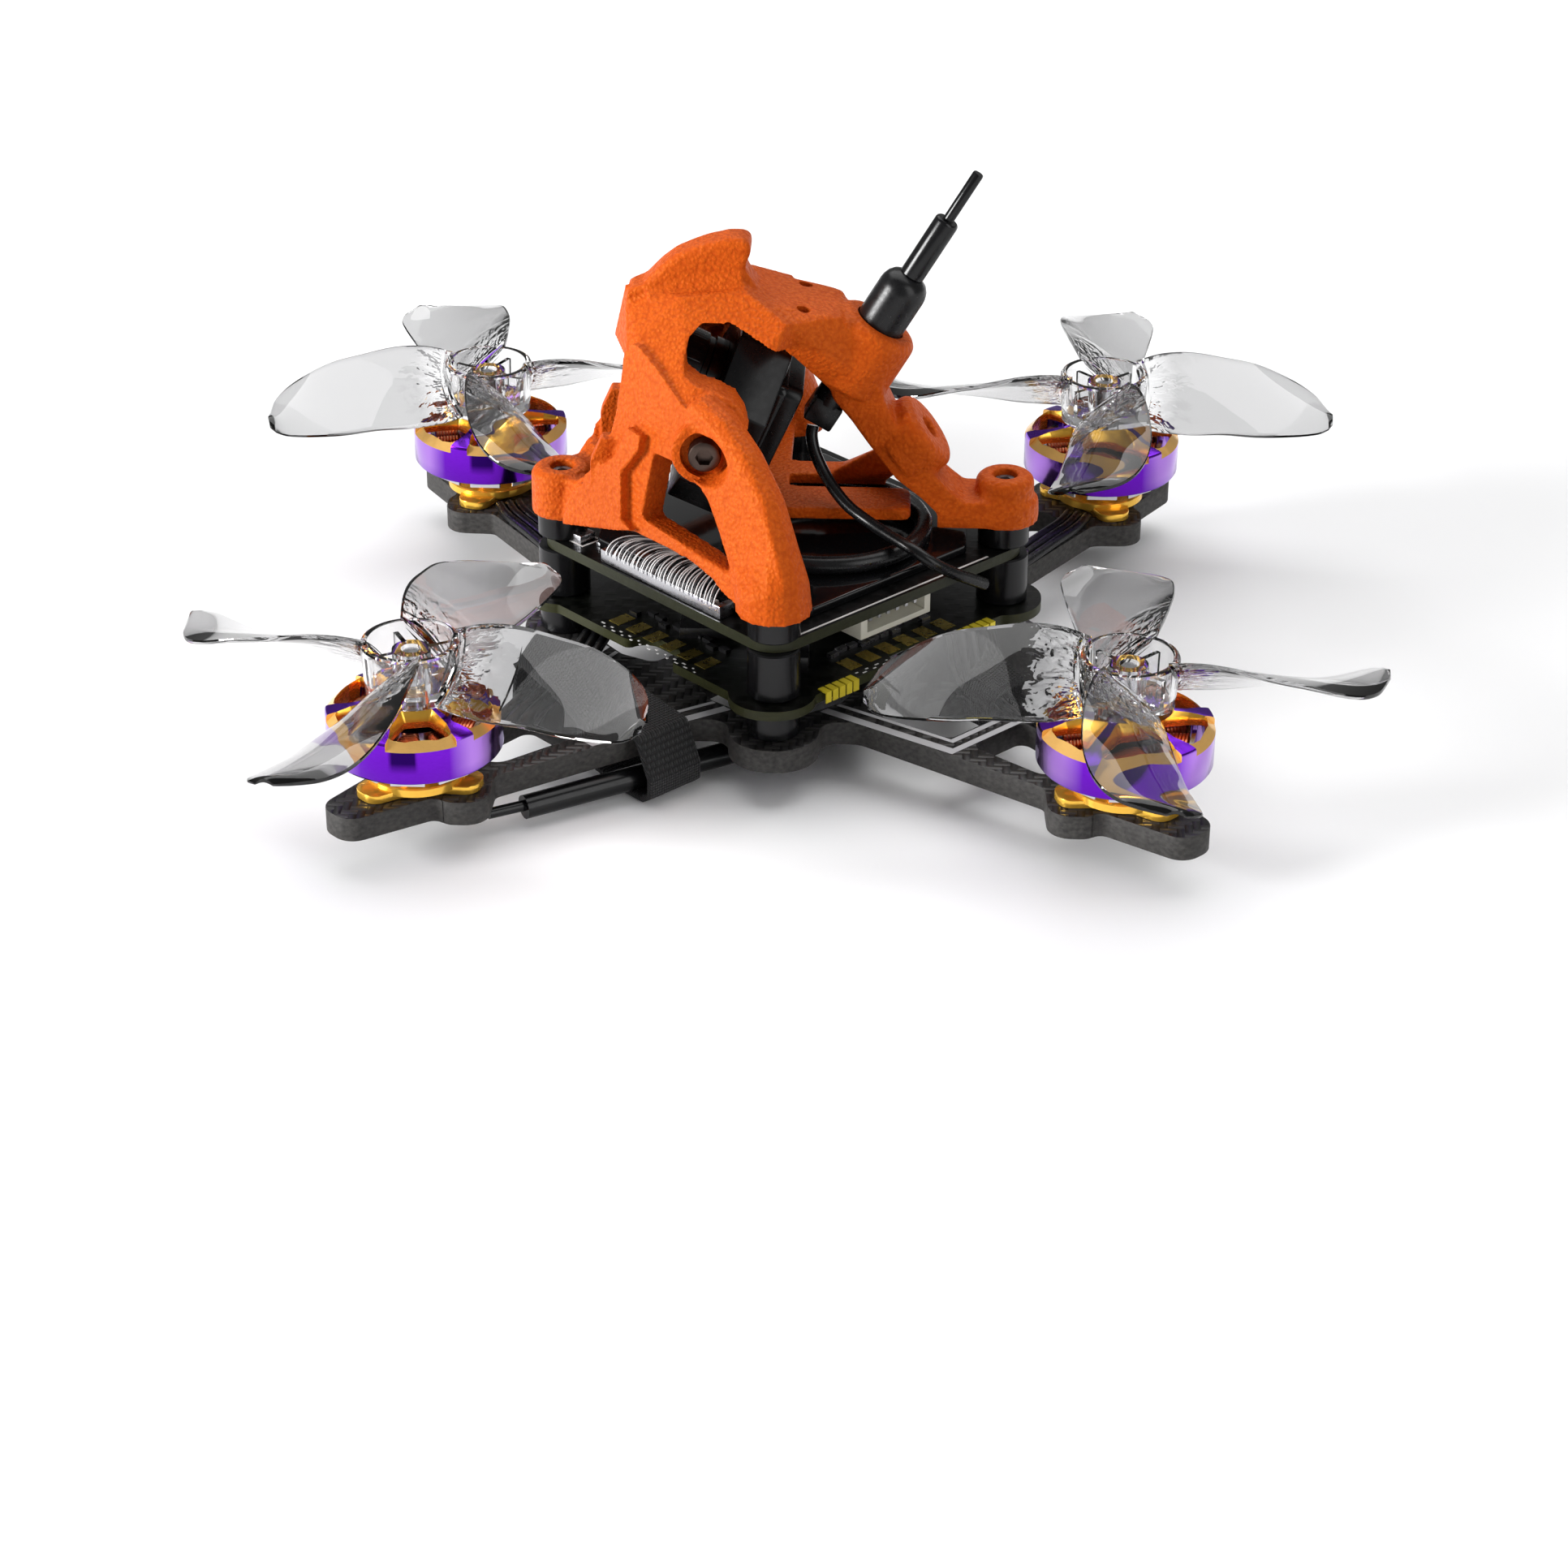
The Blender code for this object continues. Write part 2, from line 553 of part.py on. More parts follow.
def fin():
    return side_view("fin", rounded([
        (-12.5, 30.4, 0.2), (-12.4, 32.3, 0.8), (-10.0, 33.2, 1.5), (-8.0, 34.6, 2.0), (-6.0, 36.1, 2.0),
        (-3.6, 37.1, 1.2), (-2.5, 36.6, 0.8), (-2.6, 35.4, 0.8), (-3.1, 34.3, 0.8), (-2.0, 32.6, 0.3), (-2.0, 31.6, 0.2),
    ]), -1.5, 1.5)


def tray():
    """The bars across the canopy's foot: centre, right-hand side, and the one across from the right leg."""
    low, high = 13.15, 14.1
    bars = rounded([
        (2.3, -1.6), (2.3, 10.4, 0.8), (-2.3, 10.4, 0.8), (-2.3, 0.4), (-4.5, 0.4), (-4.5, 8.3), (-7.3, 8.3),
        (-7.3, 0.4), (-16.2, 0.4), (-16.2, -1.6),
    ])
    web = hull("web", [
        (-7.1, 5.0, low + 0.1), (-7.1, 8.1, low + 0.1), (-4.7, 3.8, low + 0.1), (-4.7, 8.1, low + 0.1),
        (-7.1, 5.0, high + 0.1), (-7.1, 8.1, high + 0.1), (-4.7, 3.8, high + 0.1),
        (-2.2, 8.2, 17.9), (-2.2, 10.6, 16.4), (-2.2, 9.4, 15.6), (-2.2, 8.4, 17.0),
    ])
    return joined(plate("tray", [bars], low, high), web)


def canopy():
    made = cowl()
    near = panel()
    bpy.context.view_layer.update()
    near_leg = leg()
    front = turned("front boss", [(0.0, 16.55), (2.0, 16.55), (2.55, 16.0), (2.55, 12.6), (0.0, 12.6)], 24,
                   Matrix.Translation((0, -POST * MM, 0)))
    rear = turned("rear boss", [(0.0, 16.53), (1.9, 16.53), (2.4, 16.1), (2.4, 14.6), (2.8, 14.5), (2.8, 12.6), (0.0, 12.6)], 24,
                  Matrix.Translation((0, POST * MM, 0)))
    strap, pad_hole = strut()
    lens_room = block("lens room", (-4.95, -22.0, 17.0), (4.95, -6.5, 27.9))
    for piece in (near, near_leg):
        joined(made, piece)
    for piece in (mirrored_panel(near), flipped(near_leg, "right leg")):
        joined(made, piece)
    less(made, lens_room)
    joined(made, front, rear, strap, fin(), tray())
    for x in (4.2, -5.8):
        joined(made, hull("tab", [
            (x, -15.3, 14.2), (x + 1.6, -15.3, 14.2), (x, -12.9, 14.2), (x + 1.6, -12.9, 14.2), (x, -15.2, 19.4),
            (x + 1.6, -15.2, 19.4), (x, -14.3, 21.4), (x + 1.6, -14.3, 21.4), (x, -12.9, 21.4), (x + 1.6, -12.9, 21.4),
        ]))
    cuts = [pad_hole, rod("front bore", (0, -POST, 11), (0, -POST, 18), SCREW + 0.1, 16)]
    cuts.append(rod("rear bore", (0, POST, 11), (0, POST, 18), SCREW + 0.1, 16))
    for side in (1, -1):
        cuts.append(rod("foot bore", (side * POST, 0, 11), (side * POST, 0, 16.3), SCREW + 0.1, 16))
        cuts.append(rod("pivot bore", (side * 6, *PIVOT[1:]), (side * 16, *PIVOT[1:]), 0.8, 16))
        cuts.append(rod("pivot recess", (side * 10.9, *PIVOT[1:]), (side * 16, *PIVOT[1:]), 1.95, 20))
        cuts.append(rod("roof hole", (side * 2.66, 0.2, 28.5), (side * 2.66, 2.4, 33.0), 0.5, 10))
    cuts.append(turned("aerial bore", [(0.0, 3.0), (2.1, 3.0), (2.1, -1.2), (1.45, -1.2), (1.45, -12.0), (0.0, -12.0)], 20, TO_AERIAL))
    change(made, "DIFFERENCE", cuts, "MANIFOLD")
    node(made, "canopy", material("orange tpu", (0.9, 0.17, 0.02), 0.0, 0.6))


def mirrored_panel(near):
    """The right-hand panel, from the evaluated left one."""
    graph = bpy.context.evaluated_depsgraph_get()
    mesh = bpy.data.meshes.new_from_object(near.evaluated_get(graph))
    mesh.transform(Matrix.Scale(-1, 4, (1, 0, 0)) @ near.matrix_world)
    mesh.flip_normals()
    return helper(bpy.data.objects.new("right panel", mesh))


# The camera, in a frame whose Z runs out through the lens, X across, Y up

def camera():
    shell = [(-7.4, -4.6), (-4.4, -7.6), (4.4, -7.6), (7.4, -4.6), (7.4, 2.4), (3.6, 7.2), (-3.6, 7.2), (-7.4, 2.4)]
    body = plate("camera", [shell], -4.0, 0.5, TO_CAMERA)
    back = plate("camera back", [rounded([(-4.5, -5.0, 1.0), (4.5, -5.0, 1.0), (4.5, 5.0, 1.0), (-4.5, 5.0, 1.0)])], -6.0, -3.6, TO_CAMERA)
    joined(body, back)
    for side in (1, -1):
        less(body, rod("camera thread", (side * 5, *PIVOT[1:]), (side * 9, *PIVOT[1:]), 0.8, 12))
    node(body, "camera_body", material("black camera", (0.012, 0.012, 0.013), 0.1, 0.35), PIVOT)
    barrel = [(0.0, 4.9), (3.4, 4.9), (3.4, 5.6), (3.95, 5.6), (3.95, 6.4), (4.4, 6.4), (4.6, 6.2), (4.6, 0.55), (0.0, 0.55)]
    node(turned("barrel", barrel, 32, TO_CAMERA), "lens_barrel", material("lens barrel", (0.01, 0.01, 0.011), 0.2, 0.25))
    glass = [(0.0, 6.25), (1.6, 6.2), (3.0, 6.0), (3.85, 5.85), (3.85, 5.65), (0.0, 5.65)]
    node(turned("glass", glass, 28, TO_CAMERA), "lens_glass", material("lens glass", (0.03, 0.03, 0.06), 0.0, 0.03, 0.6))
    for side, name in ((1, "left"), (-1, "right")):
        place = Matrix.Translation(Vector(PIVOT) * MM) @ Matrix.Rotation(side * math.pi / 2, 4, "Y")
        profile = [
            (0.0, 11.9), (0.6, 11.9), (0.6, 12.2), (1.15, 12.2), (1.3, 12.0), (1.3, 11.0), (0.72, 11.0), (0.72, 5.6), (0.0, 5.6),
        ]
        node(turned("screw", profile, 18, place), f"camera_screw_{name}", material("dark screw " + name, (0.06, 0.05, 0.05), 0.9, 0.4))


# Antennas, leads and wraps

def video_antenna():
    boot = [(0.0, 4.7), (1.0, 4.7), (1.7, 4.2), (2.0, 3.4), (2.0, -1.1), (1.35, -1.1), (1.35, -8.0), (0.0, -8.0)]
    sleeve = turned("boot", boot, 20, TO_AERIAL)
    joined(sleeve, block("plug", (-1.25, -1.25, -9.9), (1.25, 1.25, -7.7), TO_AERIAL))
    node(sleeve, "antenna_boot", material("black rubber", (0.014, 0.014, 0.015), 0.0, 0.45))
    mast = [(0.0, 14.6), (0.45, 14.6), (0.45, 10.1), (0.9, 10.1), (1.0, 9.9), (1.0, 4.75), (0.0, 4.75)]
    node(turned("mast", mast, 16, TO_AERIAL), "antenna_mast", material("antenna black", (0.012, 0.012, 0.013), 0.0, 0.35))
    route = [
        (0.1, 2.4, 20.45), (0.4, 2.3, 19.6), (1.0, 2.65, 18.3), (2.0, 3.7, 16.5), (3.2, 5.2, 14.95), (4.6, 7.0, 14.1),
        (6.6, 8.8, 13.8), (8.4, 10.6, 13.5), (8.9, 12.2, 12.6), (8.2, 13.9, 11.4), (7.0, 15.3, 10.3), (5.8, 16.5, 9.3),
    ]
    node(cord("coax", route, 0.5), "antenna_coax", material("coax black", (0.012, 0.012, 0.013), 0.0, 0.4))


def receiver_antenna():
    route = [
        (26.6, -21.8, -1.25), (25.06, -19.3, -1.35), (25.0, -19.2, -1.5), (14.9, -3.0, -1.5), (14.85, -2.92, -1.5),
        (13.6, -2.3, -1.1), (12.7, -1.9, 0.2), (12.4, -1.6, 1.6), (12.4, -1.5, 2.9),
    ]
    radii = [0.55, 0.55, 1.0, 1.0, 0.6, 0.6, 0.6, 0.6, 0.6]
    node(cord("receiver", route, 0.82, radii), "receiver_antenna", material("receiver black", (0.012, 0.012, 0.013), 0.0, 0.45))


def three_wires():
    """The outline of three wires side by side."""
    outline = []
    for centre, start, stop in ((0.85, -130, 130), (0.0, 50, 130), (-0.85, 50, 310), (0.0, 230, 310)):
        steps = 5 if stop - start > 100 else 2
        for k in range(steps + 1):
            angle = math.radians(start + (stop - start) * k / steps)
            outline.append((centre + 0.45 * math.cos(angle), 0.45 * math.sin(angle)))
    return outline


def motor_leads(name, sx, sy):
    route = [
        (5.6, 15.0, 3.9), (7.0, 15.6, 3.4), (8.3, 16.2, 2.75), (9.4, 17.0, 2.52), (13.4, 19.9, 2.52), (17.25, 22.3, 2.52),
        (20.2, 24.2, 2.52), (22.3, 25.1, 2.52),
    ]
    points = [Vector((x * sx, y * sy, z)) for x, y, z in route]
    rings = []
    for i, point in enumerate(points):
        tangent = (points[min(i + 1, len(points) - 1)] - points[max(i - 1, 0)]).normalized()
        level = tangent.cross(Vector((0, 0, 1))).normalized()
        up = level.cross(tangent)
        rings.append([point + level * x + up * y for x, y in three_wires()])
    node(loft("leads", rings), name, material("lead black " + name, (0.012, 0.012, 0.013), 0.0, 0.45))


def camera_cable():
    """The cable's spare length: two turns lying on the heat spreader, then up behind the camera."""
    route = []
    for k in range(25):
        angle = math.radians(100 + 15 * k)
        route.append((1.0 + 8.0 * math.cos(angle), 3.5 + 8.0 * math.sin(angle), 12.2))
    for k in range(1, 10):
        angle = math.radians(100 + 15 * (k + 24))
        route.append((1.0 + (8.0 - 1.9 * min(k, 4) / 4) * math.cos(angle), 3.5 + (8.0 - 1.9 * min(k, 4) / 4) * math.sin(angle), 12.2))
    node(cord("cable", route, 0.75), "camera_cable", material("cable black", (0.012, 0.012, 0.013), 0.0, 0.35))


def camera_ribbon():
    """The fine white wires from the board's connector, as one sheet."""
    curve = [(14.0, 12.0), (13.4, 12.5), (12.4, 12.75), (11.2, 12.4), (10.0, 11.9)]
    rings = [
        [Vector(((d + q) / math.sqrt(2), (q - d) / math.sqrt(2), z + rise)) for q, rise in ((-5.6, 0.0), (7.4, 0.0), (7.4, 0.3), (-5.6, 0.3))]
        for d, z in curve
    ]
    node(loft("ribbon", rings), "camera_ribbon", material("white wires", (0.7, 0.7, 0.7), 0.0, 0.4))


def grown(outline, by):
    """A convex outline, listed anticlockwise, pushed out by a distance."""
    found = []
    for i, here in enumerate(outline):
        before = (Vector(here) - Vector(outline[i - 1])).normalized()
        after = (Vector(outline[(i + 1) % len(outline)]) - Vector(here)).normalized()
        out = (Vector((before.y, -before.x)) + Vector((after.y, -after.x))).normalized()
        found.append(tuple(Vector(here) + out * (by / max(out.dot(Vector((after.y, -after.x))), 0.5))))
    return found


def arm_wrap(name, sx, sy, inside, near, far):
    """A woven strap round an arm: a loop (across, up) between two distances along the arm."""
    along = Vector((sx, sy, 0)).normalized()
    across = Vector((-along.y, along.x, 0))
    place = Matrix(((across.x, 0, along.x, 0), (across.y, 0, along.y, 0), (0, 1, 0, 0), (0, 0, 0, 1)))
    loop = plate(name, [grown(inside, 0.5), inside], near, far, place)
    node(loop, name, material("woven strap " + name, (0.02, 0.02, 0.02), 0.0, 0.8))


def wraps():
    whole_arm = [
        (-7.1, -0.12), (5.2, -2.5), (7.6, -2.5), (8.35, -2.0), (8.4, -0.8), (6.95, 2.15), (-3.5, 3.45), (-6.7, 3.45), (-7.1, 3.1),
    ]
    one_beam = [(3.75, -0.12), (6.95, -0.12), (6.95, 3.1), (6.7, 3.4), (4.0, 3.4), (3.75, 3.1)]
    arm_wrap("arm_wrap_front", 1, -1, whole_arm, 16.95, 22.3)
    arm_wrap("arm_wrap_rear", 1, 1, one_beam, 17.6, 20.8)


frame_plate()
for corner, sx, sy, spin, phase in MOTORS:
    x, y = MOTOR * sx, MOTOR * sy
    motor_base(f"motor_base_{corner}", x, y, math.atan2(sy, sx))
    stator(f"stator_{corner}", x, y)
    bell(f"bell_{corner}", x, y)
    shaft(f"shaft_{corner}", x, y)
    propeller(f"propeller_{corner}", x, y, spin, phase)
stack_posts()
controller_board()
video_board()
heat_spreader()
camera_connector()
power_connector()
canopy()
camera()
video_antenna()
receiver_antenna()
for corner, sx, sy, _, _ in MOTORS:
    motor_leads(f"motor_leads_{corner}", sx, sy)
camera_cable()
camera_ribbon()
wraps()
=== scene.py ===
"""The looks of the fpv racing drone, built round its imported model. Shapes are in millimetres until made."""

import math
import random

import bmesh
import bpy
from mathutils import Matrix, Vector


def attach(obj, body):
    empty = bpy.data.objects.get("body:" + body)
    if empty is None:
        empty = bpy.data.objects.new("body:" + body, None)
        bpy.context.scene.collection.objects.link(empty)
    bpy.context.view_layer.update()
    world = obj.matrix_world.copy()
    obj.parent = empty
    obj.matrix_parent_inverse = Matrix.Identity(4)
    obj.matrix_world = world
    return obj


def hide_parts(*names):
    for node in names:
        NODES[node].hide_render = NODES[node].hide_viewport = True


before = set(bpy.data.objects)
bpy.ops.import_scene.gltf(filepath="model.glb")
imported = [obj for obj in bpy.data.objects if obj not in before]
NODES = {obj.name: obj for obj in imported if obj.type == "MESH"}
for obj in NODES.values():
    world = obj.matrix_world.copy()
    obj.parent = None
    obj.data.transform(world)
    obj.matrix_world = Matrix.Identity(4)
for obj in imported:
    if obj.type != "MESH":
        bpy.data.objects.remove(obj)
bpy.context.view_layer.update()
DRAWS = random.Random(11)

MM = 0.001
POST = 18.03  # radius of the four stack posts
MOTOR = 27.12  # x and y of each motor's axis
PLATE = 2.0  # thickness of the carbon plate
WINDOW = ((16.8, 4.8), (23.05, 3.37))  # each end of an arm's inner window: distance out, half width
CONTROLLER = (4.6, 5.4)  # heights of the lower board
VIDEO = (9.6, 10.5)  # heights of the upper board
SPREADER = 11.35  # top of the heat spreader, which the cable's coil lies on
FOOT = 12.6  # underside of the canopy's feet
PIVOT = (0.0, -5.7, 22.8)  # the camera's tilt axis, along X
TILT = math.radians(24.0)  # how far the camera looks up
TILT_LIMIT = 10  # degrees that it turns either way from there
AERIAL = (0.0, 7.7, 29.4)  # where the video antenna leaves its boss
AERIAL_LEAN = math.radians(30.65)
SOCKET = 0.66  # radius of the round sockets in the camera's screws
FLOOR = -3.05  # just under the lowest piece
BLACK = (0.004, 0.004, 0.0045)
DEEP_BLACK = (0.003, 0.003, 0.0034)
# One motor: its corner, the signs of its x and y, the way it turns, and its propeller's angle at rest.
MOTORS = (
    ("front_left", 1, -1, -1, -17.0),
    ("front_right", -1, -1, 1, 17.0),
    ("rear_left", 1, 1, 1, 0.0),
    ("rear_right", -1, 1, -1, -2.0),
)
POSTS = (("front", 0.0, -POST), ("left", POST, 0.0), ("rear", 0.0, POST), ("right", -POST, 0.0))
# One blade: out from the axis, leading edge, trailing edge, height at the middle, slope, thickness.
BLADE = (
    (2.8, -2.1, 2.3, 12.2, 0.95, 1.0),
    (5.0, -2.9, 2.8, 12.2, 0.85, 0.9),
    (7.5, -3.5, 3.1, 12.05, 0.74, 0.8),
    (10.5, -3.9, 3.4, 11.9, 0.56, 0.75),
    (13.3, -4.0, 3.8, 11.75, 0.45, 0.7),
    (15.6, -3.6, 4.2, 11.65, 0.32, 0.65),
    (17.4, -2.7, 4.5, 11.6, 0.22, 0.6),
    (18.7, -1.2, 4.6, 11.6, 0.15, 0.55),
    (19.5, 0.8, 4.2, 11.65, 0.12, 0.5),
)
# From an antenna, a camera or a side view drawn upright to where it stands.
TO_AERIAL = Matrix.Translation(Vector(AERIAL) * MM) @ Matrix.Rotation(-AERIAL_LEAN, 4, "X")
TO_CAMERA = Matrix.Translation(Vector(PIVOT) * MM) @ Matrix.Rotation(math.pi / 2 - TILT, 4, "X")
SIDE_VIEW = Matrix(((0, 0, 1, 0), (1, 0, 0, 0), (0, 1, 0, 0), (0, 0, 0, 1)))


# Materials

class Shader:
    """A Principled material and short ways to add nodes to it."""

    def __init__(self, name, color, roughness, metallic=0.0, **sockets):
        self.material = bpy.data.materials.new(name)
        self.material.use_nodes = True
        self.tree = self.material.node_tree
        self.base = self.tree.nodes["Principled BSDF"]
        self.base.inputs["Base Color"].default_value = (*color, 1.0)
        self.base.inputs["Roughness"].default_value = roughness
        self.base.inputs["Metallic"].default_value = metallic
        for socket, value in sockets.items():
            self.base.inputs[socket.replace("_", " ")].default_value = value
        self.color = color
        self.roughness = roughness
        self.place = self.add("TexCoord").outputs["Object"]

    def add(self, kind, **values):
        """A node; a value is set on the socket of that name, or linked to it."""
        made = self.tree.nodes.new("ShaderNode" + kind)
        for key, value in values.items():
            self.feed(made.inputs[key.replace("_", " ")], value)
        return made

    def feed(self, socket, value):
        if isinstance(value, bpy.types.NodeSocket):
            self.tree.links.new(value, socket)
        else:
            socket.default_value = value

    def math(self, operation, *values):
        made = self.add("Math")
        made.operation = operation
        for socket, value in zip(made.inputs, values):
            self.feed(socket, value)
        return made.outputs[0]

    def noise(self, size_mm, detail=3.0, stretch=(1, 1, 1)):
        """Noise with features of a size, longer along an axis whose stretch is small."""
        moved = self.add("Mapping", Vector=self.place, Scale=stretch)
        made = self.add("TexNoise", Vector=moved.outputs[0], Scale=1000 / size_mm, Detail=detail)
        return made.outputs["Fac"]

    def between(self, value, low, high, to_low=0.0, to_high=1.0):
        """A value between two limits, as a share of the way or moved to two others."""
        made = self.add("MapRange")
        self.feed(made.inputs["Value"], value)
        for key, number in zip(("From Min", "From Max", "To Min", "To Max"), (low, high, to_low, to_high)):
            self.feed(made.inputs[key], number)
        return made.outputs[0]

    def mix(self, share, first, second):
        made = self.add("Mix")
        made.data_type = "RGBA"
        for socket, value in ((made.inputs[0], share), (made.inputs[6], first), (made.inputs[7], second)):
            value = (*value, 1.0) if isinstance(value, tuple) and len(value) == 3 else value
            self.feed(socket, value)
        return made.outputs[2]

    def axes(self, vector):
        """The X, Y and Z of a vector."""
        return self.add("SeparateXYZ", Vector=vector).outputs

    def facing(self):
        """The X, Y and Z of the way that the surface faces."""
        return self.axes(self.add("NewGeometry").outputs["Normal"])

    def crown(self, value):
        """A rise and a fall over each whole step of a value."""
        return self.math("SINE", self.math("MULTIPLY", self.math("FRACT", value), math.pi))

    def set(self, socket, value):
        self.feed(self.base.inputs[socket], value)

    def bump(self, height, deep_mm, strength=1.0):
        made = self.add("Bump", Strength=strength, Distance=deep_mm * MM, Height=height)
        self.set("Normal", made.outputs[0])


def plain(name, color, roughness, metallic=0.0, spread=0.25, size=0.6, deep=0.0, **sockets):
    """A surface whose colour and roughness drift a little, with an optional fine grain."""
    made = Shader(name, color, roughness, metallic, **sockets)
    drift = made.noise(6.0, 4.0)
    fine = made.noise(size, 3.0)
    darker = tuple(c * (1 - spread) for c in color)
    lighter = tuple(min(c * (1 + spread), 1.0) for c in color)
    made.set("Base Color", made.mix(made.between(drift, 0.3, 0.7), darker, lighter))
    made.set("Roughness", made.between(fine, 0.3, 0.7, roughness * 0.85, min(roughness * 1.15, 1.0)))
    if deep:
        made.bump(fine, deep)
    return made.material


def black(name, color, roughness, deep, gloss, **more):
    """Black plastic or rubber with a fine grain and little gloss."""
    return plain(name, color, roughness, deep=deep, Specular_IOR_Level=gloss, **more)


def carbon():
    """A 2 by 2 twill seen from above, and cut layers on the edges."""
    made = Shader("woven_carbon_look", (0.03, 0.03, 0.032), 0.35, 0.0, Specular_IOR_Level=0.3)
    tow = 0.62 * MM
    place = made.axes(made.place)
    u = made.math("DIVIDE", place[0], tow)
    v = made.math("DIVIDE", place[1], tow)
    step = made.math("ADD", made.math("FLOOR", u), made.math("FLOOR", v))
    warp = made.math("LESS_THAN", made.math("FLOORED_MODULO", step, 4.0), 1.5)
    crown = made.add("Mix")
    for k, value in ((0, warp), (2, made.crown(v)), (3, made.crown(u))):
        made.feed(crown.inputs[k], value)
    fibres = made.noise(0.1, 2.0)
    upward = made.math("GREATER_THAN", made.math("ABSOLUTE", made.facing()[2]), 0.75)
    weave = made.mix(warp, (0.006, 0.006, 0.0065), (0.03, 0.029, 0.028))
    # Painted highlight: each tow is painted lighter along its crown.
    weave = made.mix(made.math("MULTIPLY", crown.outputs[0], 0.35), weave, (0.05, 0.048, 0.047))
    layers = made.noise(0.3, 5.0, (0.7, 0.7, 1.0))
    edge = made.mix(made.between(layers, 0.3, 0.7), (0.022, 0.021, 0.02), (0.052, 0.049, 0.046))
    made.set("Base Color", made.mix(upward, edge, weave))
    made.set("Roughness", made.between(upward, 0.0, 1.0, 0.62, 0.33))
    tows = made.math("MULTIPLY", crown.outputs[0], upward)
    made.bump(made.math("ADD", tows, made.math("MULTIPLY", fibres, 0.2)), 0.05)
    return made.material


def printed_orange():
    """Soft orange plastic with a fine leathery grain."""
    made = Shader("orange_print_look", (0.7, 0.1, 0.01), 0.5, Subsurface_Weight=0.05, Specular_IOR_Level=0.35)
    made.base.inputs["Specular Tint"].default_value = (1.0, 0.5, 0.14, 1.0)
    made.base.inputs["Subsurface Radius"].default_value = (1.0, 0.3, 0.1)
    made.base.inputs["Subsurface Scale"].default_value = 0.6 * MM
    warped = made.add("VectorMath")
    warped.operation = "MULTIPLY_ADD"
    drift = made.add("TexNoise", Vector=made.place, Scale=1500.0)
    for socket, value in zip(warped.inputs, (drift.outputs["Color"], [0.2 * MM] * 3, made.place)):
        made.feed(socket, value)
    cells = made.add("TexVoronoi", Vector=warped.outputs[0], Scale=1000 / 0.3, Randomness=1.0)
    cells.feature = "SMOOTH_F1"
    soft = made.noise(0.2, 2.0)
    broad = made.noise(9.0, 3.0)
    grain = made.math("ADD", cells.outputs["Distance"], made.math("MULTIPLY", soft, 0.5))
    tone = made.mix(made.between(broad, 0.3, 0.7), (0.51, 0.076, 0.005), (0.59, 0.098, 0.0075))
    made.set("Base Color", made.mix(made.between(grain, 0.35, 0.95), tone, (0.42, 0.054, 0.0035)))
    made.set("Roughness", made.between(grain, 0.3, 0.9, 0.44, 0.6))
    made.bump(made.math("MULTIPLY", grain, -1.0), 0.1, 1.0)
    return made.material


def woven_strap(name, sign):
    """A rib weave of fine threads along and across a strap that lies along y = x (1) or y = -x (-1)."""
    made = Shader(name, (0.02, 0.02, 0.021), 0.7, Sheen_Weight=0.1, Specular_IOR_Level=0.3)
    place = made.axes(made.place)
    along = made.math("MULTIPLY_ADD", place[1], sign, place[0])
    across = made.math("MULTIPLY_ADD", place[1], -sign, place[0])
    across = made.math("ADD", across, made.math("MULTIPLY", place[2], 1.4))
    thread = 0.34 * MM
    u = made.math("DIVIDE", along, thread)
    v = made.math("DIVIDE", across, thread)
    odd = made.math("FLOORED_MODULO", made.math("ADD", made.math("FLOOR", u), made.math("FLOOR", v)), 2.0)
    knit = made.math("MULTIPLY", made.crown(u), made.crown(v))
    thread_tone = made.mix(odd, (0.012, 0.012, 0.0125), (0.026, 0.026, 0.027))
    # Painted shade and highlight: the colour falls to deep black between the threads and lightens on each thread's
    # crown.
    made.set("Base Color", made.mix(knit, DEEP_BLACK, thread_tone))
    made.bump(made.math("ADD", knit, made.math("MULTIPLY", odd, 0.3)), 0.09)
    return made.material


def circuit(name, face, edge):
    """A board: glossy solder mask on its faces, glass fibre on its edges."""
    made = Shader(name, face, 0.3, Specular_IOR_Level=0.25)
    flat = made.math("GREATER_THAN", made.math("ABSOLUTE", made.facing()[2]), 0.6)
    tracks = made.add("TexVoronoi", Vector=made.place, Scale=900.0)
    tracks.distance = "CHEBYCHEV"
    copper = made.between(tracks.outputs["Distance"], 0.3, 0.5)
    lighter = tuple(c * 2 + 0.002 for c in face)
    sides = made.mix(made.noise(0.5, 3.0, (0.3, 0.3, 2.0)), edge, tuple(c * 0.5 for c in edge))
    made.set("Base Color", made.mix(flat, sides, made.mix(copper, face, lighter)))
    made.set("Roughness", made.between(flat, 0.0, 1.0, 0.5, 0.28))
    made.bump(copper, 0.012)
    return made.material


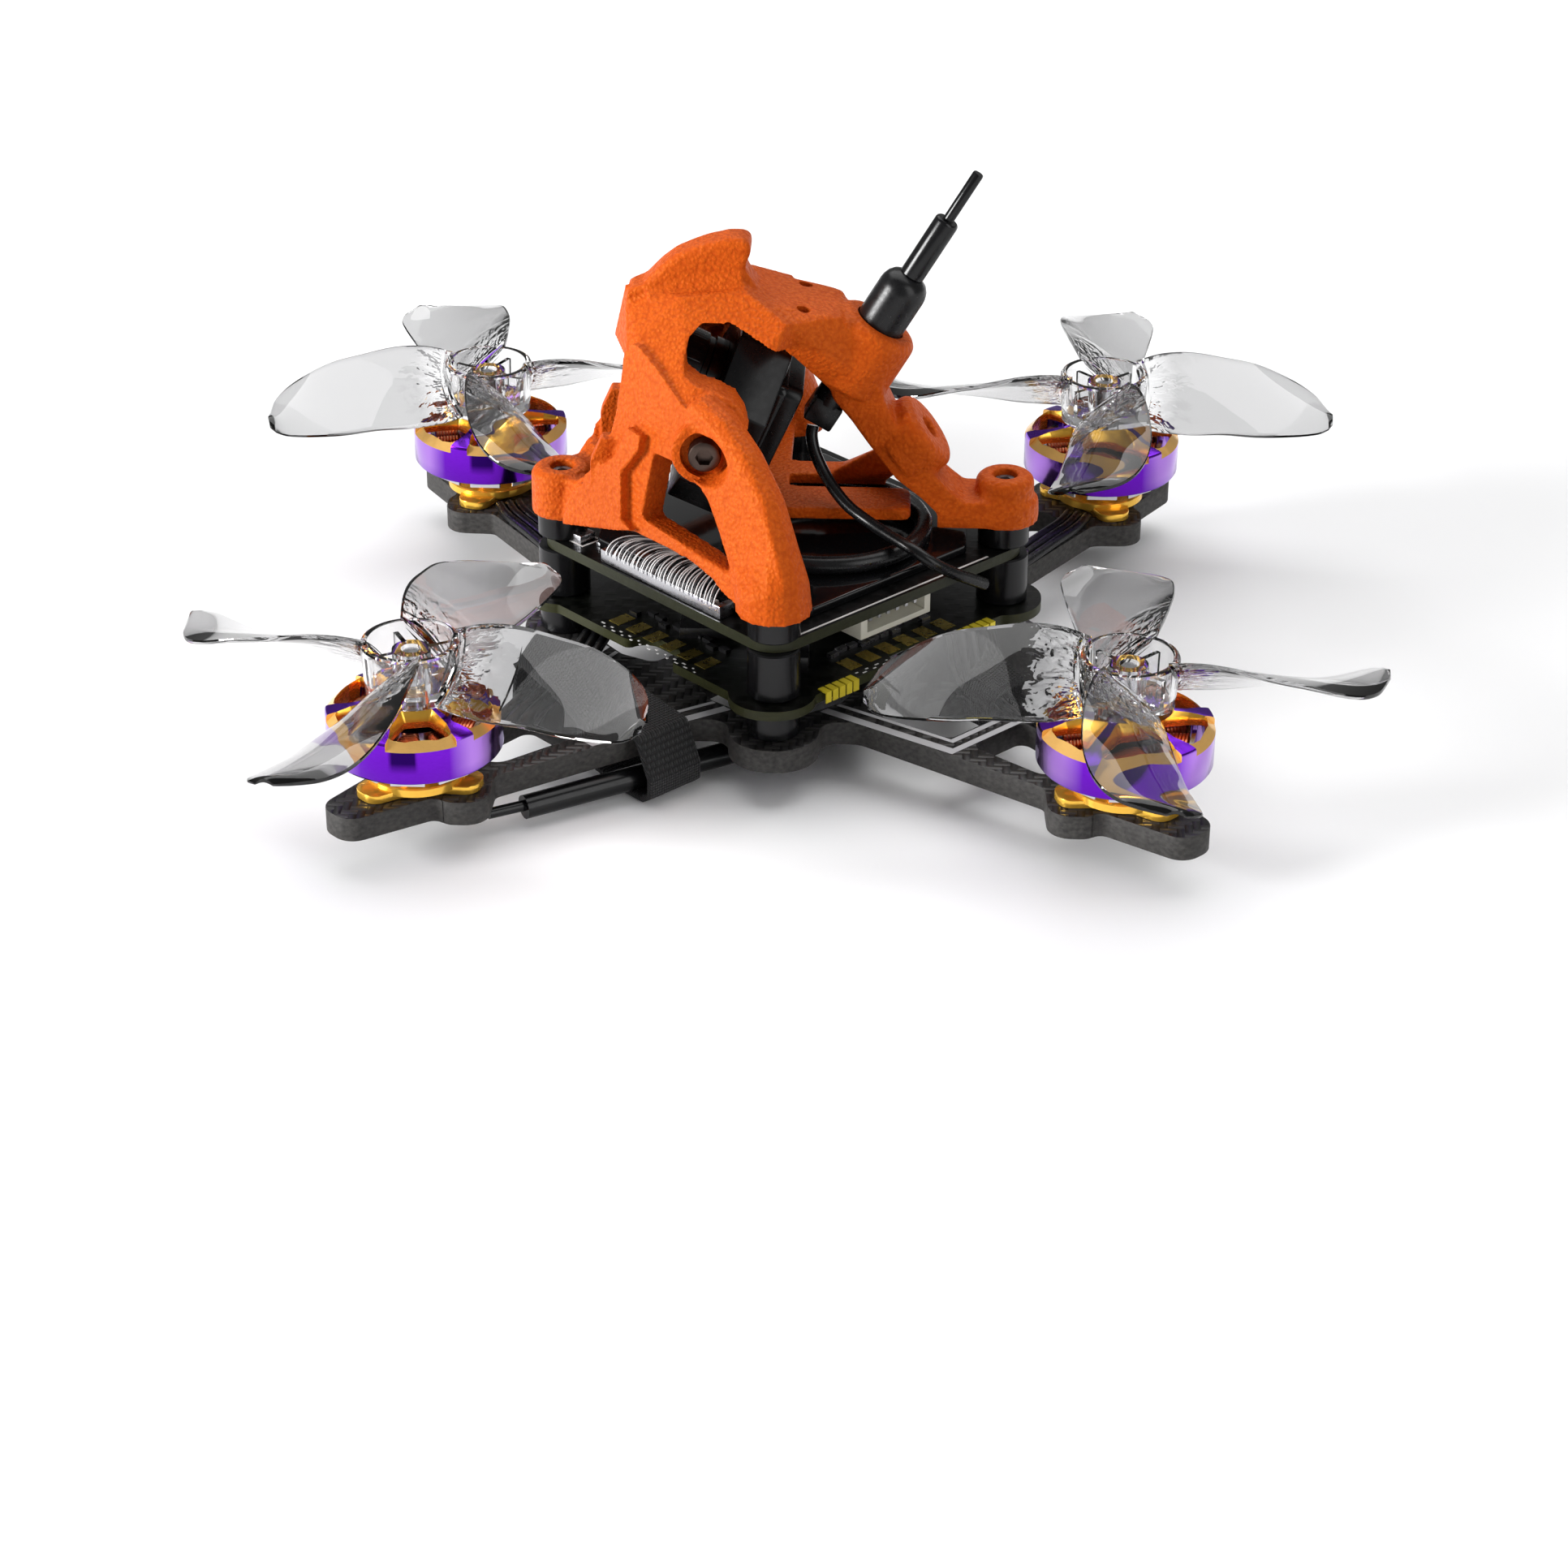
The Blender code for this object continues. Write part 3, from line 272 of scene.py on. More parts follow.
def smoked_clear():
    """Smoky clear plastic, clearest at the hub, with fine streaks where each blade leaves it."""
    clearest = (0.92, 0.92, 0.923)
    made = Shader("smoked_clear_look", clearest, 0.02, Transmission_Weight=1.0, IOR=1.5)
    place = made.axes(made.place)
    east, north = (made.math("SUBTRACT", made.math("ABSOLUTE", place[k]), MOTOR * MM) for k in (0, 1))
    squares = (made.math("MULTIPLY", side, side) for side in (east, north))
    reach = made.math("SQRT", made.math("ADD", *squares))
    around = made.math("ARCTAN2", north, east)
    polar = made.add("CombineXYZ", X=around, Y=made.math("MULTIPLY", reach, 90.0))
    streak = made.add("TexNoise", Vector=polar.outputs[0], Scale=7.0, Detail=2.0, Distortion=0.4)
    fading, beginning = made.between(reach, 8.5 * MM, 4.5 * MM), made.between(reach, 3.95 * MM, 4.2 * MM)
    near_hub = made.math("MULTIPLY", fading, beginning)
    made.bump(made.math("MULTIPLY", streak.outputs["Fac"], near_hub), 0.35)
    outward = made.between(reach, 4.0 * MM, 6.5 * MM)
    made.set("Base Color", made.mix(outward, clearest, (0.56, 0.56, 0.563)))
    return made.material


def anodised(name, color, roughness, streak=0.12, metallic=1.0):
    """Coloured aluminium with fine turning marks."""
    made = Shader(name, color, roughness, metallic)
    marks = made.noise(0.12, 2.0, (0.3, 0.3, 1.0))
    shade = tuple(c * (1 - streak) for c in color)
    made.set("Base Color", made.mix(marks, shade, color))
    made.set("Roughness", made.between(marks, 0.3, 0.7, roughness * 0.8, roughness * 1.25))
    return made.material


def purple_with_painted_reflections():
    """Purple anodised aluminium, whose polished band shows darker, bright violet and lilac bars by the way it
    faces: painted reflections in its colour.
    """
    made = Shader("purple_anodised_painted_reflection_look", (0.2, 0.03, 0.6), 0.16, 1.0)
    face = made.facing()
    turn = made.math("ARCTAN2", face[1], face[0])
    wave = made.math("COSINE", made.math("MULTIPLY", turn, 3.0))
    level = made.math("SUBTRACT", 1.0, made.math("ABSOLUTE", face[2]))
    # Painted reflection: a darker bar and a lilac bar are painted into the base colour where upright faces turn
    # certain ways about the axis.
    painted_dark_reflection = made.math("MULTIPLY", made.between(wave, 0.86, 0.93), made.between(level, 0.8, 0.9))
    pale = made.math("MULTIPLY", made.between(wave, 0.0, -0.75), made.between(level, 0.6, 0.8))
    violet = made.mix(made.noise(0.12, 2.0, (0.3, 0.3, 1.0)), (0.14, 0.01, 0.5), (0.17, 0.014, 0.58))
    tone = made.mix(pale, violet, (0.42, 0.2, 0.72))
    made.set("Base Color", made.mix(painted_dark_reflection, tone, (0.02, 0.002, 0.1)))
    return made.material


def copper_wire():
    made = Shader("copper_winding_look", (0.8, 0.25, 0.12), 0.28, 1.0)
    made.set("Base Color", made.mix(made.noise(0.5), (0.62, 0.15, 0.06), (0.92, 0.36, 0.2)))
    return made.material


def coated_glass():
    made = Shader("lens_glass_look", (0.02, 0.02, 0.04), 0.02, Coat_Weight=1.0, Coat_Roughness=0.01)
    # Painted reflection: the colour turns lighter and more violet where the glass is seen edge-on, standing in for
    # the coating's reflection.
    edge = made.add("LayerWeight", Blend=0.35)
    made.set("Base Color", made.mix(edge.outputs["Facing"], (0.012, 0.01, 0.03), (0.05, 0.02, 0.09)))
    return made.material


LOOKS = {
    "glass": coated_glass(),
    "carbon": carbon(),
    "orange": printed_orange(),
    "clear": smoked_clear(),
    "gold": anodised("gold_anodised_look", (0.98, 0.56, 0.07), 0.2, metallic=0.7),
    # Gold painted darker: a painted shade for the walls deep in the bell's pockets.
    "gold_in_painted_shade": anodised("gold_in_painted_shade_look", (0.85, 0.22, 0.03), 0.25, metallic=0.6),
    "cream_gold": anodised("gold_chamfer_look", (1.0, 0.58, 0.17), 0.16, metallic=0.5),
    "purple": purple_with_painted_reflections(),
    "copper": copper_wire(),
    "steel": anodised("shaft_steel_look", (0.62, 0.62, 0.64), 0.2),
    "dark_steel": anodised("screw_steel_look", (0.2, 0.2, 0.21), 0.33),
    "brown_steel": anodised("screw_brown_look", (0.085, 0.06, 0.05), 0.36),
    "spacer": black("spacer_black_look", BLACK, 0.22, 0.003, 0.3, spread=0.3),
    "controller": circuit("board_olive_look", (0.002, 0.0022, 0.0016), (0.028, 0.03, 0.006)),
    "video": circuit("board_black_look", (0.002, 0.002, 0.002), (0.02, 0.022, 0.006)),
    "spreader": black("spreader_black_look", BLACK, 0.1, 0.001, 0.5),
    "chip": black("chip_look", (0.006, 0.006, 0.0065), 0.3, 0.004, 0.35),
    "pad": anodised("gold_pad_look", (0.72, 0.55, 0.12), 0.3),
    "yellow_pad": plain("yellow_pad_look", (0.75, 0.6, 0.03), 0.35, 0.3, deep=0.01),
    "silk": plain("white_print_look", (0.75, 0.75, 0.73), 0.5),
    "tin": anodised("connector_metal_look", (0.5, 0.5, 0.52), 0.3),
    "nylon": plain("cream_nylon_look", (0.66, 0.64, 0.54), 0.42, spread=0.06, deep=0.01),
    "camera": black("camera_black_look", DEEP_BLACK, 0.3, 0.006, 0.22),
    "barrel": black("barrel_black_look", DEEP_BLACK, 0.2, 0.003, 0.25),
    "rubber": black("boot_rubber_look", BLACK, 0.3, 0.004, 0.3, size=0.3),
    "cable": black("cable_black_look", BLACK, 0.28, 0.004, 0.3, size=0.3),
    "lead": black("lead_black_look", BLACK, 0.3, 0.004, 0.3, size=0.3),
    "white_wire": plain("white_wire_look", (0.82, 0.82, 0.82), 0.35, spread=0.05),
    "dark_wire": plain("dark_wire_look", (0.05, 0.05, 0.055), 0.35),
    "stripe": plain("pale_stripe_look", (0.5, 0.5, 0.51), 0.4, spread=0.1, size=0.2, deep=0.01),
    "wrap_front": woven_strap("woven_wrap_look_front", -1.0),
    "wrap_rear": woven_strap("woven_wrap_look_rear", 1.0),
}


# Shapes

def rounded(points, step=9.0):
    """A closed outline from corners (x, y) or (x, y, radius)."""
    outline = []
    for i, corner in enumerate(points):
        here = Vector(corner[:2])
        if len(corner) == 2:
            outline.append(tuple(here))
            continue
        before = (Vector(points[i - 1][:2]) - here).normalized()
        after = (Vector(points[(i + 1) % len(points)][:2]) - here).normalized()
        half = before.angle(after) / 2
        centre = here + (before + after).normalized() * (corner[2] / math.sin(half))
        start = here + before * (corner[2] / math.tan(half)) - centre
        end = here + after * (corner[2] / math.tan(half)) - centre
        sweep = math.remainder(math.atan2(end.y, end.x) - math.atan2(start.y, start.x), 2 * math.pi)
        steps = max(2, math.ceil(abs(sweep) / math.radians(step)))
        for k in range(steps + 1):
            outline.append(tuple(centre + Matrix.Rotation(sweep * k / steps, 2) @ start))
    return outline


def turned_by(degrees, points):
    """Corners turned about the middle, their radii kept."""
    turn = Matrix.Rotation(math.radians(degrees), 2)
    return [(*(turn @ Vector(point[:2])), *point[2:]) for point in points]


def four_ways(quarter):
    """A rounded outline from a quarter of its corners."""
    return rounded([corner for k in range(4) for corner in turned_by(90 * k, quarter)])


def spun(degrees):
    """A turn about the vertical."""
    return Matrix.Rotation(math.radians(degrees), 4, "Z")


def circle(x, y, radius, steps=40):
    """A round outline."""
    angles = [2 * math.pi * k / steps for k in range(steps)]
    return [(x + radius * math.cos(a), y + radius * math.sin(a)) for a in angles]


def at(x, y):
    return Matrix.Translation((x * MM, y * MM, 0))


def added(name, data):
    """A new object in the scene."""
    made = bpy.data.objects.new(name, data)
    bpy.context.scene.collection.objects.link(made)
    return made


def modified(obj, kind, **values):
    """An object with one more modifier."""
    step = obj.modifiers.new(kind.title(), kind)
    for key, value in values.items():
        setattr(step, key, value)
    return obj


def shown(name, mesh, place=Matrix(), smooth=35.0):
    """An object of a mesh, shaded smooth except at sharp edges."""
    made = added(name, mesh)
    made.matrix_world = place
    mesh.shade_smooth()
    mesh.set_sharp_from_angle(angle=math.radians(smooth))
    return made


def taken_mesh(obj):
    """The mesh of an object, which is then removed."""
    mesh = obj.data.copy()
    bpy.data.objects.remove(obj)
    return mesh


def final_mesh(obj):
    """The mesh of an object after its modifiers. The object is then removed."""
    bpy.context.view_layer.update()
    graph = bpy.context.evaluated_depsgraph_get()
    mesh = bpy.data.meshes.new_from_object(obj.evaluated_get(graph))
    bpy.data.objects.remove(obj)
    return mesh


def from_bmesh(name, bm, place=Matrix(), smooth=35.0):
    bmesh.ops.scale(bm, vec=(MM, MM, MM), verts=bm.verts)
    bmesh.ops.recalc_face_normals(bm, faces=bm.faces)
    mesh = bpy.data.meshes.new(name)
    bm.to_mesh(mesh)
    bm.free()
    return shown(name, mesh, place, smooth)


def plate(name, outlines, low, high, place=Matrix(), edge=0.0):
    """The first outline less the others, between two heights, its edges rounded over."""
    curve = bpy.data.curves.new(name, "CURVE")
    curve.dimensions = "2D"
    curve.fill_mode = "BOTH"
    curve.extrude = ((high - low) / 2 - edge) * MM
    if edge:
        curve.bevel_depth = edge * MM
        curve.bevel_resolution = 1
        curve.offset = -edge * MM
    for outline in outlines:
        spline = curve.splines.new("POLY")
        spline.points.add(len(outline) - 1)
        for point, (x, y) in zip(spline.points, outline):
            point.co = (x * MM, y * MM, 0.0, 1.0)
        spline.use_cyclic_u = True
    mesh = final_mesh(added(name, curve))
    bm = bmesh.new()
    bm.from_mesh(mesh)
    bmesh.ops.remove_doubles(bm, verts=bm.verts, dist=0.002 * MM)
    bmesh.ops.translate(bm, vec=(0, 0, (low + high) / 2 * MM), verts=bm.verts)
    bmesh.ops.recalc_face_normals(bm, faces=bm.faces)
    bm.to_mesh(mesh)
    bm.free()
    return shown(name, mesh, place)


def turned(name, profile, steps=48, place=Matrix(), ring=False, smooth=35.0):
    """A profile (radius, height) turned about Z; a ring closes on itself."""
    bm = bmesh.new()
    rows = []
    for radius, height in profile:
        if radius < 0.0001:
            rows.append([bm.verts.new((0, 0, height))])
            continue
        turns = [2 * math.pi * k / steps for k in range(steps)]
        rows.append([bm.verts.new((radius * math.cos(a), radius * math.sin(a), height)) for a in turns])
    pairs = list(zip(rows, rows[1:]))
    if ring:
        pairs.append((rows[-1], rows[0]))
    for near, far in pairs:
        for k in range(steps):
            after = (k + 1) % steps
            corners = [row[i % len(row)] for row, i in ((near, k), (near, after), (far, after), (far, k))]
            corners = list(dict.fromkeys(corners))
            if len(corners) > 2:
                bm.faces.new(corners)
    return from_bmesh(name, bm, place, smooth)


def rod(name, start, end, radius, steps=40):
    """A plain cylinder between two points."""
    along = Vector(end) - Vector(start)
    bm = bmesh.new()
    bmesh.ops.create_cone(bm, cap_ends=True, segments=steps, radius1=radius, radius2=radius, depth=along.length)
    turn = along.to_track_quat("Z", "Y").to_matrix().to_4x4()
    middle = Matrix.Translation((Vector(start) + Vector(end)) / 2)
    bmesh.ops.transform(bm, matrix=middle @ turn, verts=bm.verts)
    return from_bmesh(name, bm)


def hull(name, points):
    """The convex solid round some points."""
    bm = bmesh.new()
    for point in points:
        bm.verts.new(point)
    found = bmesh.ops.convex_hull(bm, input=bm.verts)
    spare = set(found["geom_interior"] + found["geom_unused"])
    bmesh.ops.delete(bm, geom=list(spare), context="VERTS")
    return from_bmesh(name, bm)


def block(name, low, high, place=Matrix(), edge=0.0):
    bm = bmesh.new()
    bmesh.ops.create_cube(bm, size=1.0)
    size = Vector(high) - Vector(low)
    bmesh.ops.scale(bm, vec=size, verts=bm.verts)
    bmesh.ops.translate(bm, vec=Vector(low) + size / 2, verts=bm.verts)
    if edge:
        bmesh.ops.bevel(bm, geom=bm.edges, offset=edge, segments=2, profile=0.5, affect="EDGES")
    return from_bmesh(name, bm, place)


def loft(name, rings, smooth=50.0):
    """A closed skin over rings of equal count, with both ends capped."""
    bm = bmesh.new()
    rows = [[bm.verts.new(point) for point in ring] for ring in rings]
    for near, far in zip(rows, rows[1:]):
        for k in range(len(near)):
            after = (k + 1) % len(near)
            bm.faces.new((near[k], near[after], far[after], far[k]))
    bm.faces.new(reversed(rows[0]))
    bm.faces.new(rows[-1])
    return from_bmesh(name, bm, Matrix(), smooth)


def smooth_line(points, per=8):
    """A Catmull-Rom curve through points of any size."""
    found = []
    for i in range(len(points) - 1):
        p = [Vector(points[max(i - 1, 0)]), Vector(points[i]), Vector(points[i + 1])]
        p.append(Vector(points[min(i + 2, len(points) - 1)]))
        for k in range(per):
            t = k / per
            square = 2 * p[0] - 5 * p[1] + 4 * p[2] - p[3]
            cube = 3 * p[1] - p[0] - 3 * p[2] + p[3]
            found.append(0.5 * (2 * p[1] + (p[2] - p[0]) * t + square * t * t + cube * t ** 3))
    return found + [Vector(points[-1])]


def cord(name, lines, radius, sides=3):
    """Round cords through lists of points, as one mesh."""
    curve = bpy.data.curves.new(name, "CURVE")
    curve.dimensions = "3D"
    curve.use_fill_caps = True
    curve.bevel_resolution = sides
    curve.bevel_depth = radius * MM
    for line in lines:
        spline = curve.splines.new("POLY")
        spline.points.add(len(line) - 1)
        for point, co in zip(spline.points, line):
            point.co = (*(Vector(co[:3]) * MM), 1.0)
    return shown(name, final_mesh(added(name, curve)), smooth=60.0)


def change(obj, operation, others, solver="MANIFOLD"):
    """One solid after its Booleans, made into a plain mesh with its look's slots kept."""
    for other in others:
        step = obj.modifiers.new(other.name, "BOOLEAN")
        step.operation = operation
        step.solver = solver
        if solver == "EXACT":
            step.material_mode = "TRANSFER"
        step.object = other
    name, place = obj.name, obj.matrix_world.copy()
    mesh = final_mesh(obj)
    for other in others:
        bpy.data.objects.remove(other)
    made = shown(name, mesh, place)
    made.name = name
    return made


def merged(name, pieces):
    """Several objects as one mesh, each keeping its material."""
    for piece in pieces:
        piece.select_set(True)
    with bpy.context.temp_override(active_object=pieces[0], selected_editable_objects=pieces):
        bpy.ops.object.join()
    pieces[0].name = name
    return pieces[0]


def painted(obj, look):
    obj.data.materials.clear()
    obj.data.materials.append(LOOKS[look])
    return obj


def piece(obj, slot, replaces=None, look=None, body="airframe"):
    """Puts a finished piece on its body, in place of its CAD node."""
    if look:
        painted(obj, look)
    obj.data.transform(obj.matrix_world)
    obj.matrix_world = Matrix.Identity(4)
    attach(obj, body)
    if replaces:
        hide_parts(replaces)


# Camera and light

def aimed(place, target):
    """Where a camera or a lamp stands, and the way it looks."""
    turn = (Vector(target) - Vector(place)).to_track_quat("-Z", "Y")
    return Matrix.Translation(place) @ turn.to_matrix().to_4x4()


def photo_camera():
    eye = Vector((279.94, 10.63, 142.87)) * MM
    target = Vector((0.0, 0.16, -12.82)) * MM
    camera = added("photo_camera", bpy.data.cameras.new("photo_camera"))
    camera.data.sensor_width = 36.0
    camera.data.lens = 86.49
    camera.data.clip_start = 0.001
    camera.matrix_world = aimed(eye, target) @ spun(0.24)
    bpy.context.scene.camera = camera


def softbox(name, place, target, size, power):
    lamp = bpy.data.lights.new(name, "AREA")
    lamp.shape = "RECTANGLE"
    lamp.size, lamp.size_y = size
    lamp.energy = power
    added(name, lamp).matrix_world = aimed(place, target)


def studio():
    bm = bmesh.new()
    bmesh.ops.create_grid(bm, x_segments=2, y_segments=2, size=4000.0)
    floor = from_bmesh("floor", bm)
    floor.location.z = FLOOR * MM
    pale = Shader("floor_look", (0.93, 0.93, 0.935), 0.9)
    pale.base.inputs["Specular IOR Level"].default_value = 0.1
    floor.data.materials.append(pale.material)
    world = bpy.data.worlds.new("studio")
    world.use_nodes = True
    sky = world.node_tree.nodes["Background"]
    sky.inputs["Color"].default_value = (1.0, 1.0, 1.0, 1.0)
    sky.inputs["Strength"].default_value = 0.22
    bpy.context.scene.world = world
    middle = (0.0, 0.0, 0.01)
    softbox("key_light", (0.3, -0.75, 0.22), middle, (0.3, 0.3), 11.0)
    softbox("fill_light", (0.45, 0.5, 0.3), middle, (0.4, 0.6), 1.9)
    softbox("top_light", (-0.3, 0.05, 0.7), middle, (1.1, 0.7), 5.6)
    bpy.context.scene.view_settings.view_transform = "Standard"


# The carbon plate and its wraps

def plate_outline():
    half = [
        (16.4, 3.7, 1.5), (16.4, 6.7, 2.0), (26.4, 21.2, 0.8), (30.75, 21.4, 1.85),
        (30.75, 24.6, 1.4), (29.9, 25.3, 0.9), (34.1, 31.65, 1.75),
    ]
    quarter = [(POST + 3.4, -3.4, 3.39), (POST + 3.4, 3.4, 3.39), *half]
    quarter += [(y, x, r) for x, y, r in reversed(half)]
    return four_ways(quarter)


def arm_angle(x_side, y_side):
    return math.degrees(math.atan2(y_side, x_side))


def bar_edge(out, offset):
    """How far an arm's window edge lies from its middle line at a distance out, moved out by an offset."""
    (near, wide), (far, narrow) = WINDOW
    slope = (wide - narrow) / (far - near)
    return wide - slope * (out - near) + math.hypot(1.0, slope) * offset


def plate_windows():
    (near, wide), (far, narrow) = WINDOW
    inner = [(near, -wide, 0.9), (far, -narrow, 0.9), (far, narrow, 0.9), (near, wide, 0.9)]
    rear = [(13.4, -1.5, 0.9), *inner, (13.4, 1.5, 0.9)]
    outer = [(24.95, -2.95, 0.9), (32.6, -2.2, 1.5), (32.6, 2.2, 1.5), (24.95, 2.95, 0.9)]
    side = [(15.37, 1.86, 0.5), (14.1, 3.8, 1.0), (13.0, 5.2, 1.0), (10.3, 6.6, 1.0), (7.9, 4.4, 1.0)]
    beside_post = [(x, -y, r) for x, y, r in reversed(side)] + [(14.85, -0.68), (14.85, 0.68)] + side
    found = []
    for _, sx, sy, _, _ in MOTORS:
        angle = arm_angle(sx, sy)
        found.append(rounded(turned_by(angle, rear if sy > 0 else inner)))
        found.append(rounded(turned_by(angle, outer)))
    for k in range(4):
        found.append(rounded(turned_by(90 * k, beside_post)))
    return found


def carbon_plate():
    made = plate("carbon_plate", [plate_outline(), *plate_windows(), *post_holes(1.0)], 0.0, PLATE, edge=0.08)
    piece(made, "woven_carbon", "frame_plate", "carbon")
    # Each line's lower and upper offset, the same of its cross bar's distances, and where it starts.
    lines = ((0.12, 0.5, 23.25, 23.75, 13.0), (1.3, 2.1, 24.4, 25.0, 12.9))
    stripes = []
    for _, sx, sy, _, _ in MOTORS:
        for low, high, bar_low, bar_high, start in lines:
            corners = ((start, high), (bar_high, high), (bar_low, low), (start, low))
            near, far, back, end = [(out, bar_edge(out, offset)) for out, offset in corners]
            mirrored = [(out, -wide) for out, wide in (far, near, end, back)]
            outline = turned_by(arm_angle(sx, sy), [near, far, *mirrored, back, end])
            stripes.append(plate("stripe", [outline], PLATE + 0.005, PLATE + 0.02))
    piece(merged("plate_stripes", stripes), "woven_carbon", look="stripe")


def strap(name, node, look):
    """The CAD strap with its edges softened."""
    made = shown(name, NODES[node].data.copy(), smooth=50.0)
    modified(made, "WELD", merge_threshold=0.005 * MM)
    modified(made, "REMESH", mode="VOXEL", voxel_size=0.14 * MM)
    modified(made, "SMOOTH", iterations=6)
    piece(shown(name, final_mesh(made), smooth=70.0), "woven_wrap", node, look)


# Motors and propellers

def bell_mesh():
    """A purple bell with six pockets milled through its top, edges flared, and a chamfer outside each."""
    profile = [
        (2.0, 9.3), (2.35, 9.3), (6.45, 8.62), (6.68, 8.55), (6.76, 8.4), (6.78, 8.2), (6.78, 5.35), (6.66, 5.16),
        (6.4, 5.1), (6.1, 5.12), (6.0, 5.25), (6.0, 7.9), (0.78, 7.9), (0.78, 9.3),
    ]
    # The levels of each pocket: height, and how far its outline spreads.
    # The straight walls deep in each pocket get gold painted darker, a painted shade; the flared edges above get
    # plain gold.
    pockets = (("gold_in_painted_shade", ((7.0, 0.0), (8.6, 0.0), (9.9, 0.0))), ("gold", ((8.05, -0.35), (8.4, 0.0), (9.9, 1.5))))
    half = [(2.75, -0.95, 0.3), (4.3, -1.9, 0.3), (5.6, -2.3, 0.4), (6.05, -1.2, 0.4)]
    corners = rounded(half + [(x, -y, r) for x, y, r in reversed(half)], 24.0)
    made = painted(turned("bell", profile, 96, ring=True), "purple")
    cutters = []
    for k in range(6):
        middle = 60 * k + 12
        turn = Matrix.Rotation(math.radians(middle), 2)
        for look, levels in pockets:
            rows = []
            for height, spread in levels:
                ring = []
                for x, y in corners:
                    outward = Vector((x - 4.3, y)).normalized() * spread * 0.5
                    ring.append((*(turn @ Vector((x + min(outward.x, 0.3), y + outward.y))), height))
                rows.append(ring)
            cutters.append(painted(loft("pocket", rows), look))
        rows = []
        for height, inner in ((7.9, 6.8), (8.9, 5.8)):
            turns = [math.radians(middle + 3.9 * j) for j in range(-6, 7)]
            around = [(inner, a) for a in turns] + [(8.0, a) for a in reversed(turns)]
            rows.append([(reach * math.cos(a), reach * math.sin(a), height) for reach, a in around])
        cutters.append(painted(loft("rim chamfer", rows), "cream_gold"))
    return taken_mesh(change(made, "DIFFERENCE", cutters, "EXACT"))


def coil_mesh():
    """Nine wound teeth on a ring: each coil is a stack of rounded loops of wire."""
    core = [(1.75, 4.3), (2.9, 4.3), (2.9, 7.5), (1.75, 7.5)]
    pieces = [painted(turned("core", core, 48, ring=True), "steel")]
    for k in range(9):
        lines = []
        for row in range(7):
            across = 0.62 + 0.05 * math.sin(row * 0.9)
            out = 3.05 + 0.27 * row
            wide = across + 0.08 * row
            loop = rounded([(x * wide, y * 1.45, 0.35) for x, y in ((-1, -1), (1, -1), (1, 1), (-1, 1))], 30.0)
            loop = [spun(40 * k) @ Vector((out, y, 5.9 + z)) for y, z in loop]
            lines.append(loop + [loop[0]])
        pieces.append(painted(cord("coil", lines, 0.15, 1), "copper"))
        tooth = rounded([(4.95, -1.45, 0.2), (5.3, -1.3, 0.1), (5.3, 1.3, 0.1), (4.95, 1.45, 0.2)], 30.0)
        pieces.append(painted(plate("tooth", [turned_by(40 * k, tooth)], 4.25, 7.55), "steel"))
    return taken_mesh(merged("stator", pieces))


def base_mesh():
    """A gold motor base with three feet, and the tube that its shaft turns in."""
    feet = []
    for k in range(3):
        feet += turned_by(120 * k, [(3.0, -1.7, 0.8), (5.3, -1.25, 1.2), (5.3, 1.25, 1.2), (3.0, 1.7, 0.8)])
    foot = painted(plate("foot", [rounded(feet)], PLATE + 0.05, 2.75, edge=0.08), "gold")
    profile = [(1.66, 7.6), (1.7, 7.55), (1.7, 3.3), (2.0, 3.2), (3.8, 3.2), (3.9, 3.1), (3.9, 2.5), (0.8, 2.5),
               (0.8, 7.6)]
    tube = painted(turned("tube", profile, 48, ring=True), "gold")
    return taken_mesh(merged("base", [foot, tube]))


def section(u, lead, trail, middle, slope, thick, spin, steps=16):
    """One rib of a blade: an arched, thin aerofoil."""
    ring = []
    for k in range(2 * steps):
        upper = k < steps
        share = (k / steps) if upper else (2 * steps - k) / steps
        share = 0.5 - 0.5 * math.cos(math.pi * share)
        w = lead + (trail - lead) * share
        fullness = math.sin(math.pi * min(share * 0.8 + 0.14, 1.0)) ** 0.7
        body = 0.5 * thick * fullness * (1.0 if 0 < share < 1 else 0.3)
        arch = 0.35 * math.sin(math.pi * share) * min(1.0, (u - 2.8) / 4.5)
        ring.append(Vector((u, w * spin, middle - slope * w + arch + (body if upper else -body))))
    return ring if spin > 0 else list(reversed(ring))


def propeller_mesh(spin):
    """Four blades on a hollow hub, its shaft's sleeve held by four ribs."""
    rows = smooth_line(BLADE, 6)
    end = Vector(BLADE[-1])
    tip = Vector((19.9, 1.9, 3.4, 11.7, 0.12, 0.3))
    rows += [end.lerp(tip, 0.6), tip]
    hub = [(3.3, 14.0), (3.45, 14.05), (3.75, 14.0), (3.85, 13.85), (3.62, 9.85), (3.45, 9.7), (0.77, 9.7),
           (0.77, 13.3), (1.45, 13.3), (1.5, 13.2), (1.5, 10.9), (3.1, 10.8), (3.2, 10.9)]
    made = turned("propeller", hub, 64, ring=True)
    parts = []
    for k in range(4):
        blade = loft("blade", [section(*row, spin) for row in rows])
        blade.matrix_world = spun(90 * k)
        parts += [blade, block("rib", (1.3, -0.2, 10.6), (3.4, 0.2, 13.2), spun(90 * k + 45))]
    return taken_mesh(change(made, "UNION", parts))


